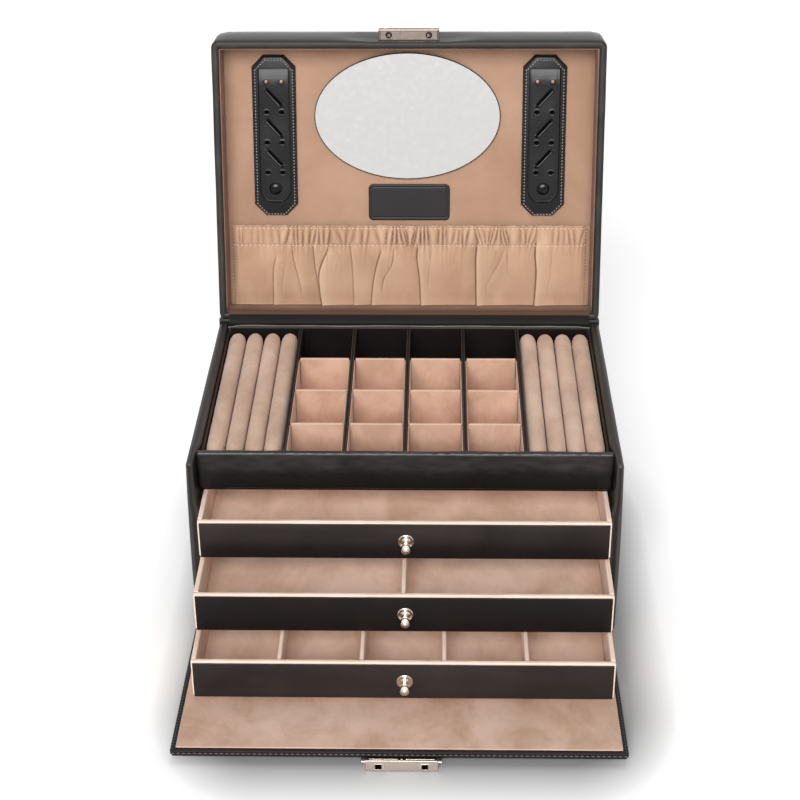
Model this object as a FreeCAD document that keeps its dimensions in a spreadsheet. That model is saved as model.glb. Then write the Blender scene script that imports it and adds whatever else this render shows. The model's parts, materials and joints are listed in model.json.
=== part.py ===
import FreeCAD, Part
import os
import re
from FreeCAD import Placement, Rotation, Vector

# A leather jewellery box with three drawers behind a front flap, a ring tray and a padded lid.
# Origin: middle of the case's underside. +Z is up and -Y is the front, where the drawers come out.
# The box stands open: lid leaning back, flap down on the table, drawers pulled out in steps.

doc = FreeCAD.newDocument("jewellery_box")
sheet = doc.addObject("Spreadsheet::Sheet", "sizes")

# Driving dimensions in millimetres, angles in degrees, and plain shares.
driving = {
    "case_width": 285,
    "case_depth": 202,
    "case_height": 135,
    "wall": 6,
    "wall_round": 2.2,
    "base_thick": 5,
    "deck_thick": 7.7,
    "deck_setback": 6,
    "slide_gap": 0.3,
    "knob_room": 13.5,
    "knob_front_gap": 0.9,
    "rail_thick": 6,
    "rail_height": 29,
    "tray_floor_thick": 2.8,
    "shelf_thick": 1.8,
    "collar_thick": 2,
    "collar_drop": 4,
    "back_collar_thick": 1.6,
    "back_collar_drop": 0.6,
    "ring_bed_width": 52.2,
    "divider_thick": 3,
    "divider_drop": 1,
    "card_thick": 2.2,
    "card_drop": 1.6,
    "card_gap": 0.8,
    "card_pitch": 46.3,
    "back_well": 44.8,
    "bed_thick": 14,
    "roll_gap": 0.25,
    "roll_end_gap": 1,
    "drawer_side_gap": 0.4,
    "drawer_back_gap": 6.5,
    "drawer_head_gap": 0.65,
    "drawer_wall": 3.4,
    "drawer_floor": 3,
    "drawer_round": 1.2,
    "facing_thick": 1.2,
    "facing_inset": 1.2,
    "cell_thick": 3,
    "cell_drop": 1.5,
    "pull_top": 34,
    "pull_middle": 72.4,
    "pull_bottom": 102.4,
    "knob_base_radius": 5.2,
    "knob_base_thick": 2.2,
    "knob_neck_radius": 1.9,
    "knob_ball_radius": 3.4,
    "stud_radius": 1.5,
    "stud_gap": 0.1,
    "hinge_rise": 2.4,
    "lid_open_angle": 103,
    "lid_over": 4,
    "lid_wall": 5,
    "lid_wall_height": 49,
    "lid_corner": 4.4,
    "rim_round": 1.6,
    "lid_top_rise": 12,
    "lid_recess": 25,
    "lining_thick": 3,
    "mirror_width": 138,
    "mirror_height": 93.4,
    "mirror_thick": 2.6,
    "mirror_bevel": 1.4,
    "mirror_margin": 4.9,
    "plate_width": 61,
    "plate_height": 27.4,
    "plate_thick": 1.4,
    "plate_corner": 3.5,
    "plate_gap": 4,
    "patch_thick": 2,
    "patch_corner": 8.5,
    "patch_margin": 6.5,
    "patch_side": 4.5,
    "patch_head": 10.5,
    "patch_tail": 9.9,
    "patch_shift": 3.25,
    "strap_width": 23.4,
    "strap_length": 99,
    "strap_thick": 1.8,
    "strap_gap": 0.3,
    "strap_hole_radius": 1.4,
    "strap_hole_spread": 11.2,
    "strap_hole_first": 9,
    "strap_hole_last": 11.8,
    "snap_margin": 11,
    "snap_hole_radius": 2.6,
    "snap_stud_radius": 2,
    "snap_cap_radius": 4.7,
    "snap_cap_thick": 2.6,
    "pocket_mouth": 6.5,
    "pocket_cloth": 1.6,
    "pocket_margin": 6,
    "pocket_side_gap": 3.5,
    "pocket_foot_gap": 0.5,
    "pocket_clear": 3.3,
    "fold_depth": 2.6,
    "keeper_width": 44,
    "keeper_depth": 8.4,
    "keeper_height": 10,
    "keeper_set_back": 0.6,
    "hook_margin": 8,
    "hook_width": 3.4,
    "hook_thick": 2,
    "hook_reach": 3.6,
    "screw_radius": 2.2,
    "screw_thick": 0.9,
    "screw_spread": 34,
    "strip_thick": 0.8,
    "strip_land": 3,
    "strip_gap": 0.3,
    "hinge_wing": 14,
    "flap_thick": 4.9,
    "flap_top_gap": 0.75,
    "flap_gap": 0.3,
    "flap_corner": 3,
    "flap_border": 3.6,
    "flap_lining_thick": 0.9,
    "flap_margin": 9,
    "lock_width": 45,
    "lock_length": 11,
    "lock_over": 6.2,
    "lock_drop": 5.8,
    "lock_wall": 1,
    "lock_plate_thick": 0.6,
    "lock_plate_lip": 2,
    "lock_hole": 4,
    "lock_rod_radius": 0.9,
    "lock_rod_over": 2.4,
    "bolt_gap": 0.3,
    "bolt_width": 3.4,
    "bolt_stroke": 3,
    "tab_length": 8,
    "settle_gap": 0.05,
    "overrun": 1,
}
# Sizes and places that follow from the driving ones, as sums of their names.
derived = {
    "inner_half": "case_width / 2 - wall",
    "rail_front": "knob_room - case_depth / 2",
    "rail_back": "rail_front + rail_thick",
    "back_face": "case_depth / 2 - wall",
    "tray_back": "back_face - back_collar_thick",
    "tray_top": "case_height - rail_height",
    "collar_height": "rail_height - collar_drop",
    "back_collar_height": "rail_height - back_collar_drop",
    "divider_height": "rail_height - divider_drop",
    "card_height": "rail_height - card_drop",
    "roll_outer": "inner_half - collar_thick",
    "roll_inner": "roll_outer - ring_bed_width",
    "divider_pitch": "(roll_inner - divider_thick / 2) / 2",
    "roll_radius": "(ring_bed_width - 5 * roll_gap) / 8",
    "drawer_low": "base_thick + deck_thick + slide_gap",
    "drawer_room": "(tray_top - tray_floor_thick - base_thick - deck_thick - 2 * shelf_thick) / 3",
    "drawer_height": "drawer_room - slide_gap - drawer_head_gap",
    "drawer_pitch": "drawer_room + shelf_thick",
    "drawer_width": "2 * (inner_half - drawer_side_gap)",
    "drawer_within": "drawer_width - 2 * drawer_wall",
    "drawer_depth": "back_face - rail_front - drawer_back_gap",
    "knob_neck": "knob_room - knob_front_gap - knob_base_thick - 2 * knob_ball_radius",
    "hinge_y": "case_depth / 2",
    "hinge_z": "case_height + hinge_rise",
    "lid_depth": "case_depth + lid_over",
    "lid_front": "lid_depth - lid_wall",
    "mirror_place": "lid_front - mirror_margin - mirror_height / 2",
    "plate_place": "mirror_place - mirror_height / 2 - plate_gap - plate_height / 2",
    "patch_width": "strap_width + 2 * patch_side",
    "patch_length": "patch_head + strap_length + patch_tail",
    "patch_place": "lid_front - patch_margin - patch_length / 2",
    "patch_face": "lid_recess - patch_thick",
    "strap_across": "(mirror_width / 2 + case_width / 2 - lid_wall) / 2 - patch_shift",
    "strap_top": "lid_front - patch_margin - patch_head",
    "strap_back": "patch_face - strap_gap",
    "snap_place": "strap_length - snap_margin",
    "strap_hole_pitch": "(snap_place - strap_hole_first - strap_hole_last) / 3",
    "pocket_width": "case_width - 2 * lid_wall - 2 * pocket_side_gap",
    "pocket_foot": "lid_wall + pocket_foot_gap",
    "plate_low": "plate_place - plate_height / 2 - pocket_clear",
    "patch_low": "patch_place - patch_length / 2 - pocket_clear",
    "pocket_length": "min(plate_low; patch_low) - pocket_foot",
    "hook_spread": "lock_width - 2 * hook_margin",
    "flap_length": "hinge_z - flap_thick / 2 - flap_top_gap",
    "lock_outer": "flap_length + lock_over",
    "lock_inner": "lock_outer - lock_length",
    "lock_top": "0 - flap_thick / 2",
    "keeper_face": "lock_over + lock_plate_thick - flap_top_gap + keeper_set_back",
    "lock_low": "0 - flap_thick / 2 - lock_drop",
    "flap_pivot_y": "0 - case_depth / 2 - flap_thick / 2",
    "flap_pivot_z": "flap_thick / 2",
    "flap_lift_share": "(lock_drop + settle_gap) / lock_inner",
}
places = doc.addObject("Spreadsheet::Sheet", "places")


def bind(text):
    """An expression over the two sheets from a sum written in their own words."""
    def full(word):
        if word[0] in driving:
            return "sizes." + word[0]
        return "places." + word[0] if word[0] in derived else word[0]
    return re.sub(r"[a-z_]+", full, text)


for row, (name, number) in enumerate(driving.items(), start=1):
    sheet.set(f"A{row}", name)
    sheet.set(f"B{row}", str(number))
    sheet.setAlias(f"B{row}", name)
doc.recompute()
for row, (name, total) in enumerate(derived.items(), start=1):
    places.set(f"A{row}", name)
    places.set(f"B{row}", "=" + bind(total).replace("places.", ""))
    places.setAlias(f"B{row}", name)
doc.recompute()


def cell(name):
    """A size as a number, for shapes that are worked out here."""
    return float(sheet.get(name) if name in driving else places.get(name))


FRONT = "(-case_depth / 2)"

# Frames: where a group of pieces turns, and by how much it is turned from its flat, closed drawing.
CASE_FRAME = ("0", "0", "0")
LID_FRAME = ("hinge_y", "hinge_z", "(-1 * lid_open_angle)")
FLAP_FRAME = ("flap_pivot_y", "flap_pivot_z", "(-1 * asin(flap_lift_share))")

# The twelve edges of a block in their order, by the place that each has on it.
BLOCK_EDGES = ("left_front", "left_top", "left_back", "left_bottom",
               "right_front", "right_top", "right_back", "right_bottom",
               "front_bottom", "front_top", "back_bottom", "back_top")
UPRIGHT_EDGES = ("left_front", "left_back", "right_front", "right_back")
nodes = {}


def keep(piece, label):
    """Name a finished sub-part; its label is its file's name."""
    piece.Label = label
    nodes[label] = piece
    return piece


def seat(piece, corner, frame):
    """Set a piece's own zero at a corner of a frame, which is turned about X."""
    across, up, turn = frame
    x, y, z = corner
    piece.setExpression(".Placement.Base.x", bind(x))
    piece.setExpression(".Placement.Base.y", bind(f"{across} + ({y}) * cos({turn}) - ({z}) * sin({turn})"))
    piece.setExpression(".Placement.Base.z", bind(f"{up} + ({y}) * sin({turn}) + ({z}) * cos({turn})"))
    return piece


def lean(piece, turn):
    """Turn a piece about X by an angle of the sheet, or leave it upright."""
    if turn != "0":
        piece.Placement = Placement(Vector(), Rotation(Vector(1, 0, 0), 90))
        piece.setExpression(".Placement.Rotation.Angle", bind(turn))
    return piece


def block(name, corner, spans, frame=CASE_FRAME):
    """A board: its low corner and its three spans, as sums of the sheet's words."""
    piece = doc.addObject("Part::Box", name)
    for side, span in zip(("Length", "Width", "Height"), spans):
        piece.setExpression(side, bind(span))
    return seat(lean(piece, frame[2]), corner, frame)


def edge_rows(edges, size):
    """Rows of edge number and size, as a fillet or a chamfer takes them."""
    return [(BLOCK_EDGES.index(edge) + 1, size, size) for edge in edges]


def rounded(piece, name, radius, edges):
    """The same board with some of its edges rounded, as leather rounds them."""
    doc.recompute()
    soft = doc.addObject("Part::Fillet", name)
    soft.Base = piece
    soft.Edges = edge_rows(edges, cell(radius))
    return soft


def together(name, pieces):
    """Several like solids kept as one sub-part."""
    group = doc.addObject("Part::Compound", name)
    group.Links = pieces
    return group


def rod(name, radius, length, corner, axis, frame=CASE_FRAME):
    """A round bar along X, Y or Z of the part, before its frame's turn is added."""
    piece = doc.addObject("Part::Cylinder", name)
    piece.setExpression("Radius", bind(radius))
    piece.setExpression("Height", bind(length))
    if axis == "x":
        piece.Placement = Placement(Vector(), Rotation(Vector(0, 1, 0), 90))
    else:
        lean(piece, frame[2] if axis == "z" else f"({frame[2]} - 90)")
    return seat(piece, corner, frame)


def cut(name, base, tool):
    """A piece with another shape taken out of it."""
    piece = doc.addObject("Part::Cut", name)
    piece.Base = base
    piece.Tool = tool
    return piece


def fused(name, pieces):
    """Parts of one turned or cast piece, made one solid."""
    piece = doc.addObject("Part::MultiFuse", name)
    piece.Shapes = pieces
    return piece


# Case boards: base, deck for the bottom drawer, two sides and back, wrapped in leather.
keep(block("base_board", ("-inner_half", FRONT, "0"),
           ("2 * inner_half", "case_depth - wall", "base_thick")), "base_board")
keep(block("drawer_deck", ("-inner_half", f"{FRONT} + deck_setback", "base_thick"),
           ("2 * inner_half", "case_depth - wall - deck_setback", "deck_thick")), "drawer_deck")
for side, start in (("left", "-case_width / 2"), ("right", "inner_half")):
    blank = block(f"{side}_side_blank", (start, FRONT, "0"), ("wall", "case_depth", "case_height"))
    outer_corner = f"{side}_back"
    keep(rounded(blank, f"{side}_side", "wall_round",
                 ("left_top", "right_top", "left_front", "right_front", outer_corner)), f"{side}_side_panel")
blank = block("back_blank", ("-inner_half", "back_face", "0"), ("2 * inner_half", "wall", "case_height"))
keep(rounded(blank, "back", "wall_round", ("front_top", "back_top")), "back_panel")

# Front rail above the drawers; it is the tray's front wall too.
blank = block("rail_blank", ("-inner_half", "rail_front", "tray_top"),
              ("2 * inner_half", "rail_thick", "rail_height"))
keep(rounded(blank, "rail", "wall_round", ("front_top", "back_top")), "front_rail")

# Tray floor and the thin shelves that the two upper drawers run on.
keep(block("tray_floor", ("-inner_half", "rail_front", "tray_top - tray_floor_thick"),
           ("2 * inner_half", "back_face - rail_front", "tray_floor_thick")), "tray_floor")
shelves = []
for level in (1, 2):
    shelf_z = f"drawer_low + {level} * drawer_pitch - slide_gap - shelf_thick"
    shelves.append(block(f"shelf_{level}", ("-inner_half", "rail_front", shelf_z),
                         ("2 * inner_half", "back_face - rail_front", "shelf_thick")))
keep(together("shelves", shelves), "drawer_shelves")

# Tray collars along the sides and the back.
collars = [block(f"{side}_collar", (start, "rail_back", "tray_top"),
                 ("collar_thick", "back_face - rail_back", "collar_height"))
           for side, start in (("left", "-inner_half"), ("right", "inner_half - collar_thick"))]
keep(together("collars", collars), "tray_side_collars")
keep(block("back_collar", ("-roll_outer", "tray_back", "tray_top"),
           ("2 * roll_outer", "back_collar_thick", "back_collar_height")), "tray_back_collar")

# Five long dividers, with three cards across each of the four columns between them.
dividers = [block(f"divider_{place_number}",
                  (f"{place_number} * divider_pitch - divider_thick / 2", "rail_back", "tray_top"),
                  ("divider_thick", "tray_back - rail_back", "divider_height"))
            for place_number in (-2, -1, 0, 1, 2)]
keep(together("dividers", dividers), "tray_dividers")
cards = []
for column in (-2, -1, 0, 1):
    for step in (0, 1, 2):
        corner = (f"{column} * divider_pitch + divider_thick / 2 + card_gap",
                  f"tray_back - back_well - {step} * card_pitch - card_thick", "tray_top")
        cards.append(block(f"card_{column + 2}_{step}", corner,
                           ("divider_pitch - divider_thick - 2 * card_gap", "card_thick", "card_height")))
keep(together("cards", cards), "cross_cards")

# Ring rolls: four padded rolls on a foam bed at each end of the tray.
beds = [block(f"{side}_bed", (start, "rail_back", "tray_top"),
              ("ring_bed_width", "tray_back - rail_back", "bed_thick"))
        for side, start in (("left", "-roll_outer"), ("right", "roll_inner"))]
keep(together("beds", beds), "ring_beds")
roll_end_share = 0.7
roll_end_round = cell("roll_radius") * roll_end_share
rolls = []
for side, start, way in (("left", "(0 - roll_inner)", "-"), ("right", "roll_inner", "+")):
    for number in (1, 2, 3, 4):
        middle = f"{start} {way} ({number} * roll_gap + {2 * number - 1} * roll_radius)"
        roll = rod(f"{side}_roll_{number}_blank", "roll_radius", "tray_back - rail_back - 2 * roll_end_gap",
                   (middle, "rail_back + roll_end_gap", "tray_top + bed_thick + roll_gap + roll_radius"), "y")
        doc.recompute()
        soft = doc.addObject("Part::Fillet", f"{side}_roll_{number}")
        soft.Base = roll
        rims = [number_on_roll for number_on_roll, edge in enumerate(roll.Shape.Edges, start=1)
                if edge.Closed and len(edge.Vertexes) == 1]
        soft.Edges = [(rim, roll_end_round, roll_end_round) for rim in rims]
        rolls.append(soft)
keep(together("rolls", rolls), "ring_rolls")

# Drawers: each a velour box with an inset leather facing and a turned knob on a threaded stud.
KNOB_REACH = "(knob_base_thick + knob_neck)"
for level, name in enumerate(("bottom", "middle", "top")):
    low = f"(drawer_low + {level} * drawer_pitch)"
    face = f"(rail_front - pull_{name})"
    board = f"({face} + facing_thick)"
    inside = f"({board} + drawer_wall)"
    half = "(drawer_width / 2)"
    rear = f"({face} + drawer_depth)"
    knob_z = f"({low} + drawer_height / 2)"
    stud_hole = rod(f"{name}_stud_hole", "stud_radius + stud_gap", "facing_thick + drawer_wall + 2 * overrun",
                    ("0", f"{face} - overrun", knob_z), "y")
    front_blank = block(f"{name}_front_blank", (f"-{half}", board, low),
                        ("drawer_width", "drawer_wall", "drawer_height"))
    front_soft = rounded(front_blank, f"{name}_front_soft", "drawer_round", ("front_top", "back_top"))
    keep(cut(f"{name}_front", front_soft, stud_hole), f"{name}_drawer_front")
    facing_blank = block(f"{name}_facing_blank", (f"-{half} + facing_inset", face, low),
                         ("drawer_width - 2 * facing_inset", "facing_thick", "drawer_height - facing_inset"))
    keep(cut(f"{name}_facing", facing_blank, stud_hole), f"{name}_drawer_facing")
    sides = [block(f"{name}_{side}_wall", (start, inside, low),
                   ("drawer_wall", f"{rear} - {inside}", "drawer_height"))
             for side, start in (("left", f"-{half}"), ("right", f"{half} - drawer_wall"))]
    keep(together(f"{name}_sides", sides), f"{name}_drawer_sides")
    keep(block(f"{name}_back", ("-drawer_within / 2", f"{rear} - drawer_wall", low),
               ("drawer_within", "drawer_wall", "drawer_height")), f"{name}_drawer_back")
    keep(block(f"{name}_floor", ("-drawer_within / 2", inside, low),
               ("drawer_within", f"{rear} - drawer_wall - {inside}", "drawer_floor")), f"{name}_drawer_floor")
    rosette = doc.addObject("Part::Cone", f"{name}_rosette")
    rosette.setExpression("Radius1", bind("knob_base_radius"))
    rosette.setExpression("Radius2", bind("knob_neck_radius"))
    rosette.setExpression("Height", bind("knob_base_thick"))
    rosette.Placement = Placement(Vector(), Rotation(Vector(1, 0, 0), 90))
    seat(rosette, ("0", face, knob_z), CASE_FRAME)
    neck = rod(f"{name}_neck", "knob_neck_radius", f"{KNOB_REACH} + knob_ball_radius",
               ("0", f"{face} - {KNOB_REACH} - knob_ball_radius", knob_z), "y")
    ball = doc.addObject("Part::Sphere", f"{name}_ball")
    ball.setExpression("Radius", bind("knob_ball_radius"))
    seat(ball, ("0", f"{face} - {KNOB_REACH} - knob_ball_radius", knob_z), CASE_FRAME)
    stud = rod(f"{name}_stud", "stud_radius", "facing_thick + drawer_wall", ("0", face, knob_z), "y")
    keep(fused(f"{name}_turned_knob", [rosette, neck, ball, stud]), f"{name}_drawer_knob")
    cells = {"bottom": 5, "middle": 2, "top": 1}[name]
    cell_walls = [block(f"{name}_cell_wall_{number}",
                        (f"-drawer_within / 2 + {number} * drawer_within / {cells} - cell_thick / 2", inside,
                         f"{low} + drawer_floor"),
                        ("cell_thick", f"{rear} - drawer_wall - {inside}",
                         "drawer_height - drawer_floor - cell_drop"))
                  for number in range(1, cells)]
    if cell_walls:
        keep(together(f"{name}_cell_walls", cell_walls), f"{name}_drawer_dividers")

# Lid walls, drawn closed from the hinge line and turned open.
for side, start in (("front", "-lid_depth"), ("back", "-lid_wall")):
    blank = block(f"lid_{side}_blank", ("-case_width / 2", start, "0"),
                  ("case_width", "lid_wall", "lid_wall_height"), LID_FRAME)
    corners = rounded(blank, f"lid_{side}", "lid_corner", (f"left_{side}", f"right_{side}"))
    keep(corners, f"lid_{side}_wall")
for side, start, inner in (("left", "-case_width / 2", "right_bottom"),
                           ("right", "case_width / 2 - lid_wall", "left_bottom")):
    blank = block(f"lid_{side}_blank", (start, "-lid_depth + lid_wall", "0"),
                  ("lid_wall", "lid_depth - 2 * lid_wall", "lid_wall_height"), LID_FRAME)
    keep(rounded(blank, f"lid_{side}", "rim_round", (inner, f"{side}_bottom")), f"lid_{side}_wall")

# Lining panel, set back in the lid.
keep(block("lid_lining", ("-case_width / 2 + lid_wall", "-lid_front", "lid_recess"),
           ("case_width - 2 * lid_wall", "lid_front - lid_wall", "lining_thick"), LID_FRAME), "lid_lining")


def solid_feature(name, shape):
    """A sub-part whose shape is worked out here, in its own place."""
    piece = doc.addObject("Part::Feature", name)
    where = shape.Placement
    piece.Shape = shape
    piece.Placement = where
    return piece


def in_lid(shape):
    """A shape drawn in the closed lid, from its hinge line, turned open with it."""
    shape.Placement = Placement(Vector(0, cell("hinge_y"), cell("hinge_z")),
                                Rotation(Vector(1, 0, 0), -cell("lid_open_angle")))
    return shape


# Padded top: a board's outline that swells, draws in at its sides and crowns over the middle.
def rounded_outline(width, depth, corner, height):
    """A rectangle with round corners from x 0 to both sides and from y 0 to -depth, at one height."""
    x, y = width / 2 - corner, depth / 2 - corner
    bow = corner / 2 ** 0.5
    middle = -cell("lid_depth") / 2
    edges = []
    for across, along in ((1, 1), (-1, 1), (-1, -1), (1, -1)):
        swap = across * along > 0
        centre = Vector(across * x, middle + along * y, height)
        first = centre + Vector(across * corner, 0, 0)
        last = centre + Vector(0, along * corner, 0)
        halfway = centre + Vector(across * bow, along * bow, 0)
        edges.append((first, halfway, last) if swap else (last, halfway, first))
    wire = []
    for number, (first, halfway, last) in enumerate(edges):
        wire.append(Part.Arc(first, halfway, last).toShape())
        wire.append(Part.LineSegment(last, edges[(number + 1) % len(edges)][0]).toShape())
    return Part.Wire(wire)


# Each pair is how far the outline draws in and how high it stands, as shares of the padding's rise.
pad_shares = ((0, 0), (0, 0.3), (0.22, 0.62), (0.75, 0.86), (2, 0.96), (4.4, 1))
pad_rise = cell("lid_top_rise")
pad_sections = []
for drawn_in_share, height_share in pad_shares:
    drawn_in = drawn_in_share * pad_rise
    pad_sections.append(rounded_outline(cell("case_width") - 2 * drawn_in, cell("lid_depth") - 2 * drawn_in,
                                        cell("lid_corner") + drawn_in / 2,
                                        cell("lid_wall_height") + height_share * pad_rise))
keep(solid_feature("lid_top", in_lid(Part.makeLoft(pad_sections, True, True))), "lid_top")

def front_rim(piece):
    """The number of a round piece's rim that faces the front of the open box."""
    rims = [(edge.CenterOfMass.y, number)
            for number, edge in enumerate(piece.Shape.Edges, start=1) if edge.Closed]
    return min(rims)[1]


# Oval mirror with a bevelled edge, glued to the lining.
oval = doc.addObject("Part::Ellipse", "mirror_oval")
oval.setExpression("MajorRadius", bind("mirror_width / 2"))
oval.setExpression("MinorRadius", bind("mirror_height / 2"))
seat(lean(oval, LID_FRAME[2]), ("0", "-mirror_place", "lid_recess"), LID_FRAME)
doc.recompute()
glass = doc.addObject("Part::Extrusion", "mirror_glass")
glass.Base = oval
glass.DirMode = "Normal"
glass.Solid = True
glass.Reversed = True
glass.setExpression("LengthFwd", bind("mirror_thick"))
doc.recompute()
mirror = doc.addObject("Part::Chamfer", "mirror_bevelled")
mirror.Base = glass
mirror.Edges = [(front_rim(glass), cell("mirror_bevel"), cell("mirror_bevel"))]
keep(mirror, "mirror")

# Bare plate under the mirror.
blank = block("plate_blank",
              ("-plate_width / 2", "-plate_place - plate_height / 2", "lid_recess - plate_thick"),
              ("plate_width", "plate_height", "plate_thick"), LID_FRAME)
keep(rounded(blank, "plate", "plate_corner", UPRIGHT_EDGES), "lid_plate")

# Strap patches with cut corners, their snap studs, and the two straps with their snap caps.
strap_end_share = 0.46
strap_end_round = cell("strap_width") * strap_end_share
cap_round_share = 0.8
cap_round = cell("snap_cap_thick") * cap_round_share
patches = []
studs = []
for side, way in (("left", "-"), ("right", "+")):
    centre = f"(0 {way} strap_across)"
    blank = block(f"{side}_patch_blank",
                  (f"{centre} - patch_width / 2", "-patch_place - patch_length / 2", "patch_face"),
                  ("patch_width", "patch_length", "patch_thick"), LID_FRAME)
    doc.recompute()
    patch = doc.addObject("Part::Chamfer", f"{side}_patch")
    patch.Base = blank
    patch.Edges = edge_rows(UPRIGHT_EDGES, cell("patch_corner"))
    patches.append(patch)
    snap_y = "(0 - strap_top + snap_place)"
    studs.append(rod(f"{side}_snap_stud", "snap_stud_radius", "strap_thick",
                     (centre, snap_y, "patch_face - strap_thick"), "z", LID_FRAME))
    strap_blank = block(f"{side}_strap_blank",
                        (f"{centre} - strap_width / 2", "-strap_top", "strap_back - strap_thick"),
                        ("strap_width", "strap_length", "strap_thick"), LID_FRAME)
    doc.recompute()
    strap_soft = doc.addObject("Part::Fillet", f"{side}_strap_soft")
    strap_soft.Base = strap_blank
    strap_soft.Edges = edge_rows(("left_back", "right_back"), strap_end_round)
    holes = [rod(f"{side}_snap_hole", "snap_hole_radius", "strap_thick + 2 * overrun",
                 (centre, snap_y, "strap_back - strap_thick - overrun"), "z", LID_FRAME)]
    for step in (0, 1, 2, 3):
        for twin in ("-", "+"):
            holes.append(rod(f"{side}_strap_hole_{step}_{'left' if twin == '-' else 'right'}",
                             "strap_hole_radius", "strap_thick + 2 * overrun",
                             (f"{centre} {twin} strap_hole_spread / 2",
                              f"-strap_top + strap_hole_first + {step} * strap_hole_pitch",
                              "strap_back - strap_thick - overrun"), "z", LID_FRAME))
    keep(cut(f"{side}_strap_cut", strap_soft, together(f"{side}_strap_holes", holes)), f"{side}_strap")
    cap_blank = rod(f"{side}_cap_blank", "snap_cap_radius", "snap_cap_thick",
                    (centre, snap_y, "strap_back - strap_thick - snap_cap_thick"), "z", LID_FRAME)
    doc.recompute()
    cap = doc.addObject("Part::Fillet", f"{side}_cap")
    cap.Base = cap_blank
    cap.Edges = [(front_rim(cap_blank), cap_round, cap_round)]
    keep(cap, f"{side}_snap_cap")
keep(together("patches", patches), "strap_patches")
keep(together("snap_studs_group", studs), "snap_studs")


# Gathered pocket: cloth that stands in soft folds off the lining, open along its elastic hem.
def folded_section(y, depth, fold_shares):
    """The pocket cut across at one height: flat at the lining, a row of folds on the open side."""
    half = cell("pocket_width") / 2
    flat = cell("lid_recess")
    base = flat - depth
    span = cell("pocket_width") / len(fold_shares)
    edges = [Part.LineSegment(Vector(half, y, base), Vector(half, y, flat)).toShape(),
             Part.LineSegment(Vector(half, y, flat), Vector(-half, y, flat)).toShape(),
             Part.LineSegment(Vector(-half, y, flat), Vector(-half, y, base)).toShape()]
    for number, fold_share in enumerate(fold_shares):
        first = Vector(-half + number * span, y, base)
        last = Vector(-half + (number + 1) * span, y, base)
        crest = Vector(first.x + span / 2, y, base - fold_share * cell("fold_depth"))
        edges.append(Part.Arc(first, crest, last).toShape())
    return Part.Wire(edges)


fold_rows_shares = (
    (0.3, 0.5, 0.3, 0.6, 0.4, 0.3, 0.5, 0.6, 0.3, 0.5, 0.4, 0.3),
    (0.6, 1.0, 0.5, 0.9, 0.7, 0.4, 1.0, 0.8, 0.5, 1.0, 0.7, 0.5),
    (0.4, 0.8, 0.3, 0.6, 0.9, 0.3, 0.7, 0.5, 0.8, 0.6, 0.4, 0.3),
    (0.2, 0.3, 0.2, 0.3, 0.3, 0.2, 0.3, 0.2, 0.3, 0.3, 0.2, 0.2),
)
pocket_height_shares = (1, 0.78, 0.35, 0)
pocket_depth = cell("pocket_mouth") + cell("pocket_cloth")
pocket_sections = [folded_section(-cell("pocket_foot") - share * cell("pocket_length"), pocket_depth, row)
                   for share, row in zip(pocket_height_shares, fold_rows_shares)]
pocket_solid = Part.makeLoft(pocket_sections, True, True)
mouth = Part.makeBox(cell("pocket_width") - 2 * cell("pocket_margin"), cell("pocket_length"),
                     cell("pocket_mouth"))
mouth.translate(Vector(cell("pocket_margin") - cell("pocket_width") / 2,
                       -cell("pocket_foot") - cell("pocket_margin") - cell("pocket_length"),
                       cell("lid_recess") - cell("pocket_mouth")))
keep(solid_feature("pocket", in_lid(pocket_solid.cut(mouth))), "lid_pocket")

# Lock keeper on the lid's front wall: a metal box with two hooks, held by two screws.
hook_places = (("left", "(0 - hook_spread / 2)"), ("right", "(hook_spread / 2)"))
keeper_box = block("keeper_box", ("-keeper_width / 2", "-lid_depth - keeper_depth", "keeper_face"),
                   ("keeper_width", "keeper_depth", "keeper_height"), LID_FRAME)
hooks = [block(f"{side}_hook",
               (f"{centre} - hook_width / 2", "-lid_depth - keeper_depth / 2 - hook_thick / 2",
                "keeper_face - hook_reach"),
               ("hook_width", "hook_thick", "hook_reach + overrun"), LID_FRAME)
         for side, centre in hook_places]
keep(fused("keeper", [keeper_box] + hooks), "lock_keeper")
keeper_screws = [rod(f"{side}_keeper_screw", "screw_radius", "screw_thick",
                     (centre, "-lid_depth - keeper_depth - screw_thick",
                      "keeper_face + keeper_height / 2"), "y", LID_FRAME)
                 for side, centre in (("left", "(0 - screw_spread / 2)"), ("right", "(screw_spread / 2)"))]
keep(together("keeper_screws_group", keeper_screws), "keeper_screws")


# Hinge leathers: thin strips that bend where the lid and the flap turn.
def ribbon(path, thick, width):
    """A strip of leather of even thickness along a path of points in the YZ plane."""
    far = []
    for number, point in enumerate(path):
        before = path[max(number - 1, 0)]
        after = path[min(number + 1, len(path) - 1)]
        along = (after - before).normalize()
        far.append(point + Vector(0, -along.z, along.y) * thick)
    outline = path + far[::-1] + path[:1]
    shape = Part.Face(Part.makePolygon(outline)).extrude(Vector(width, 0, 0))
    shape.translate(Vector(-width / 2, 0, 0))
    return shape


def lid_point(along, depth):
    """A point of the YZ plane given in the lid: how far from the hinge and how deep from the rim."""
    turn = Rotation(Vector(1, 0, 0), -cell("lid_open_angle"))
    hinge = Vector(0, cell("hinge_y"), cell("hinge_z"))
    return hinge + turn.multVec(Vector(0, -along, depth))


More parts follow.
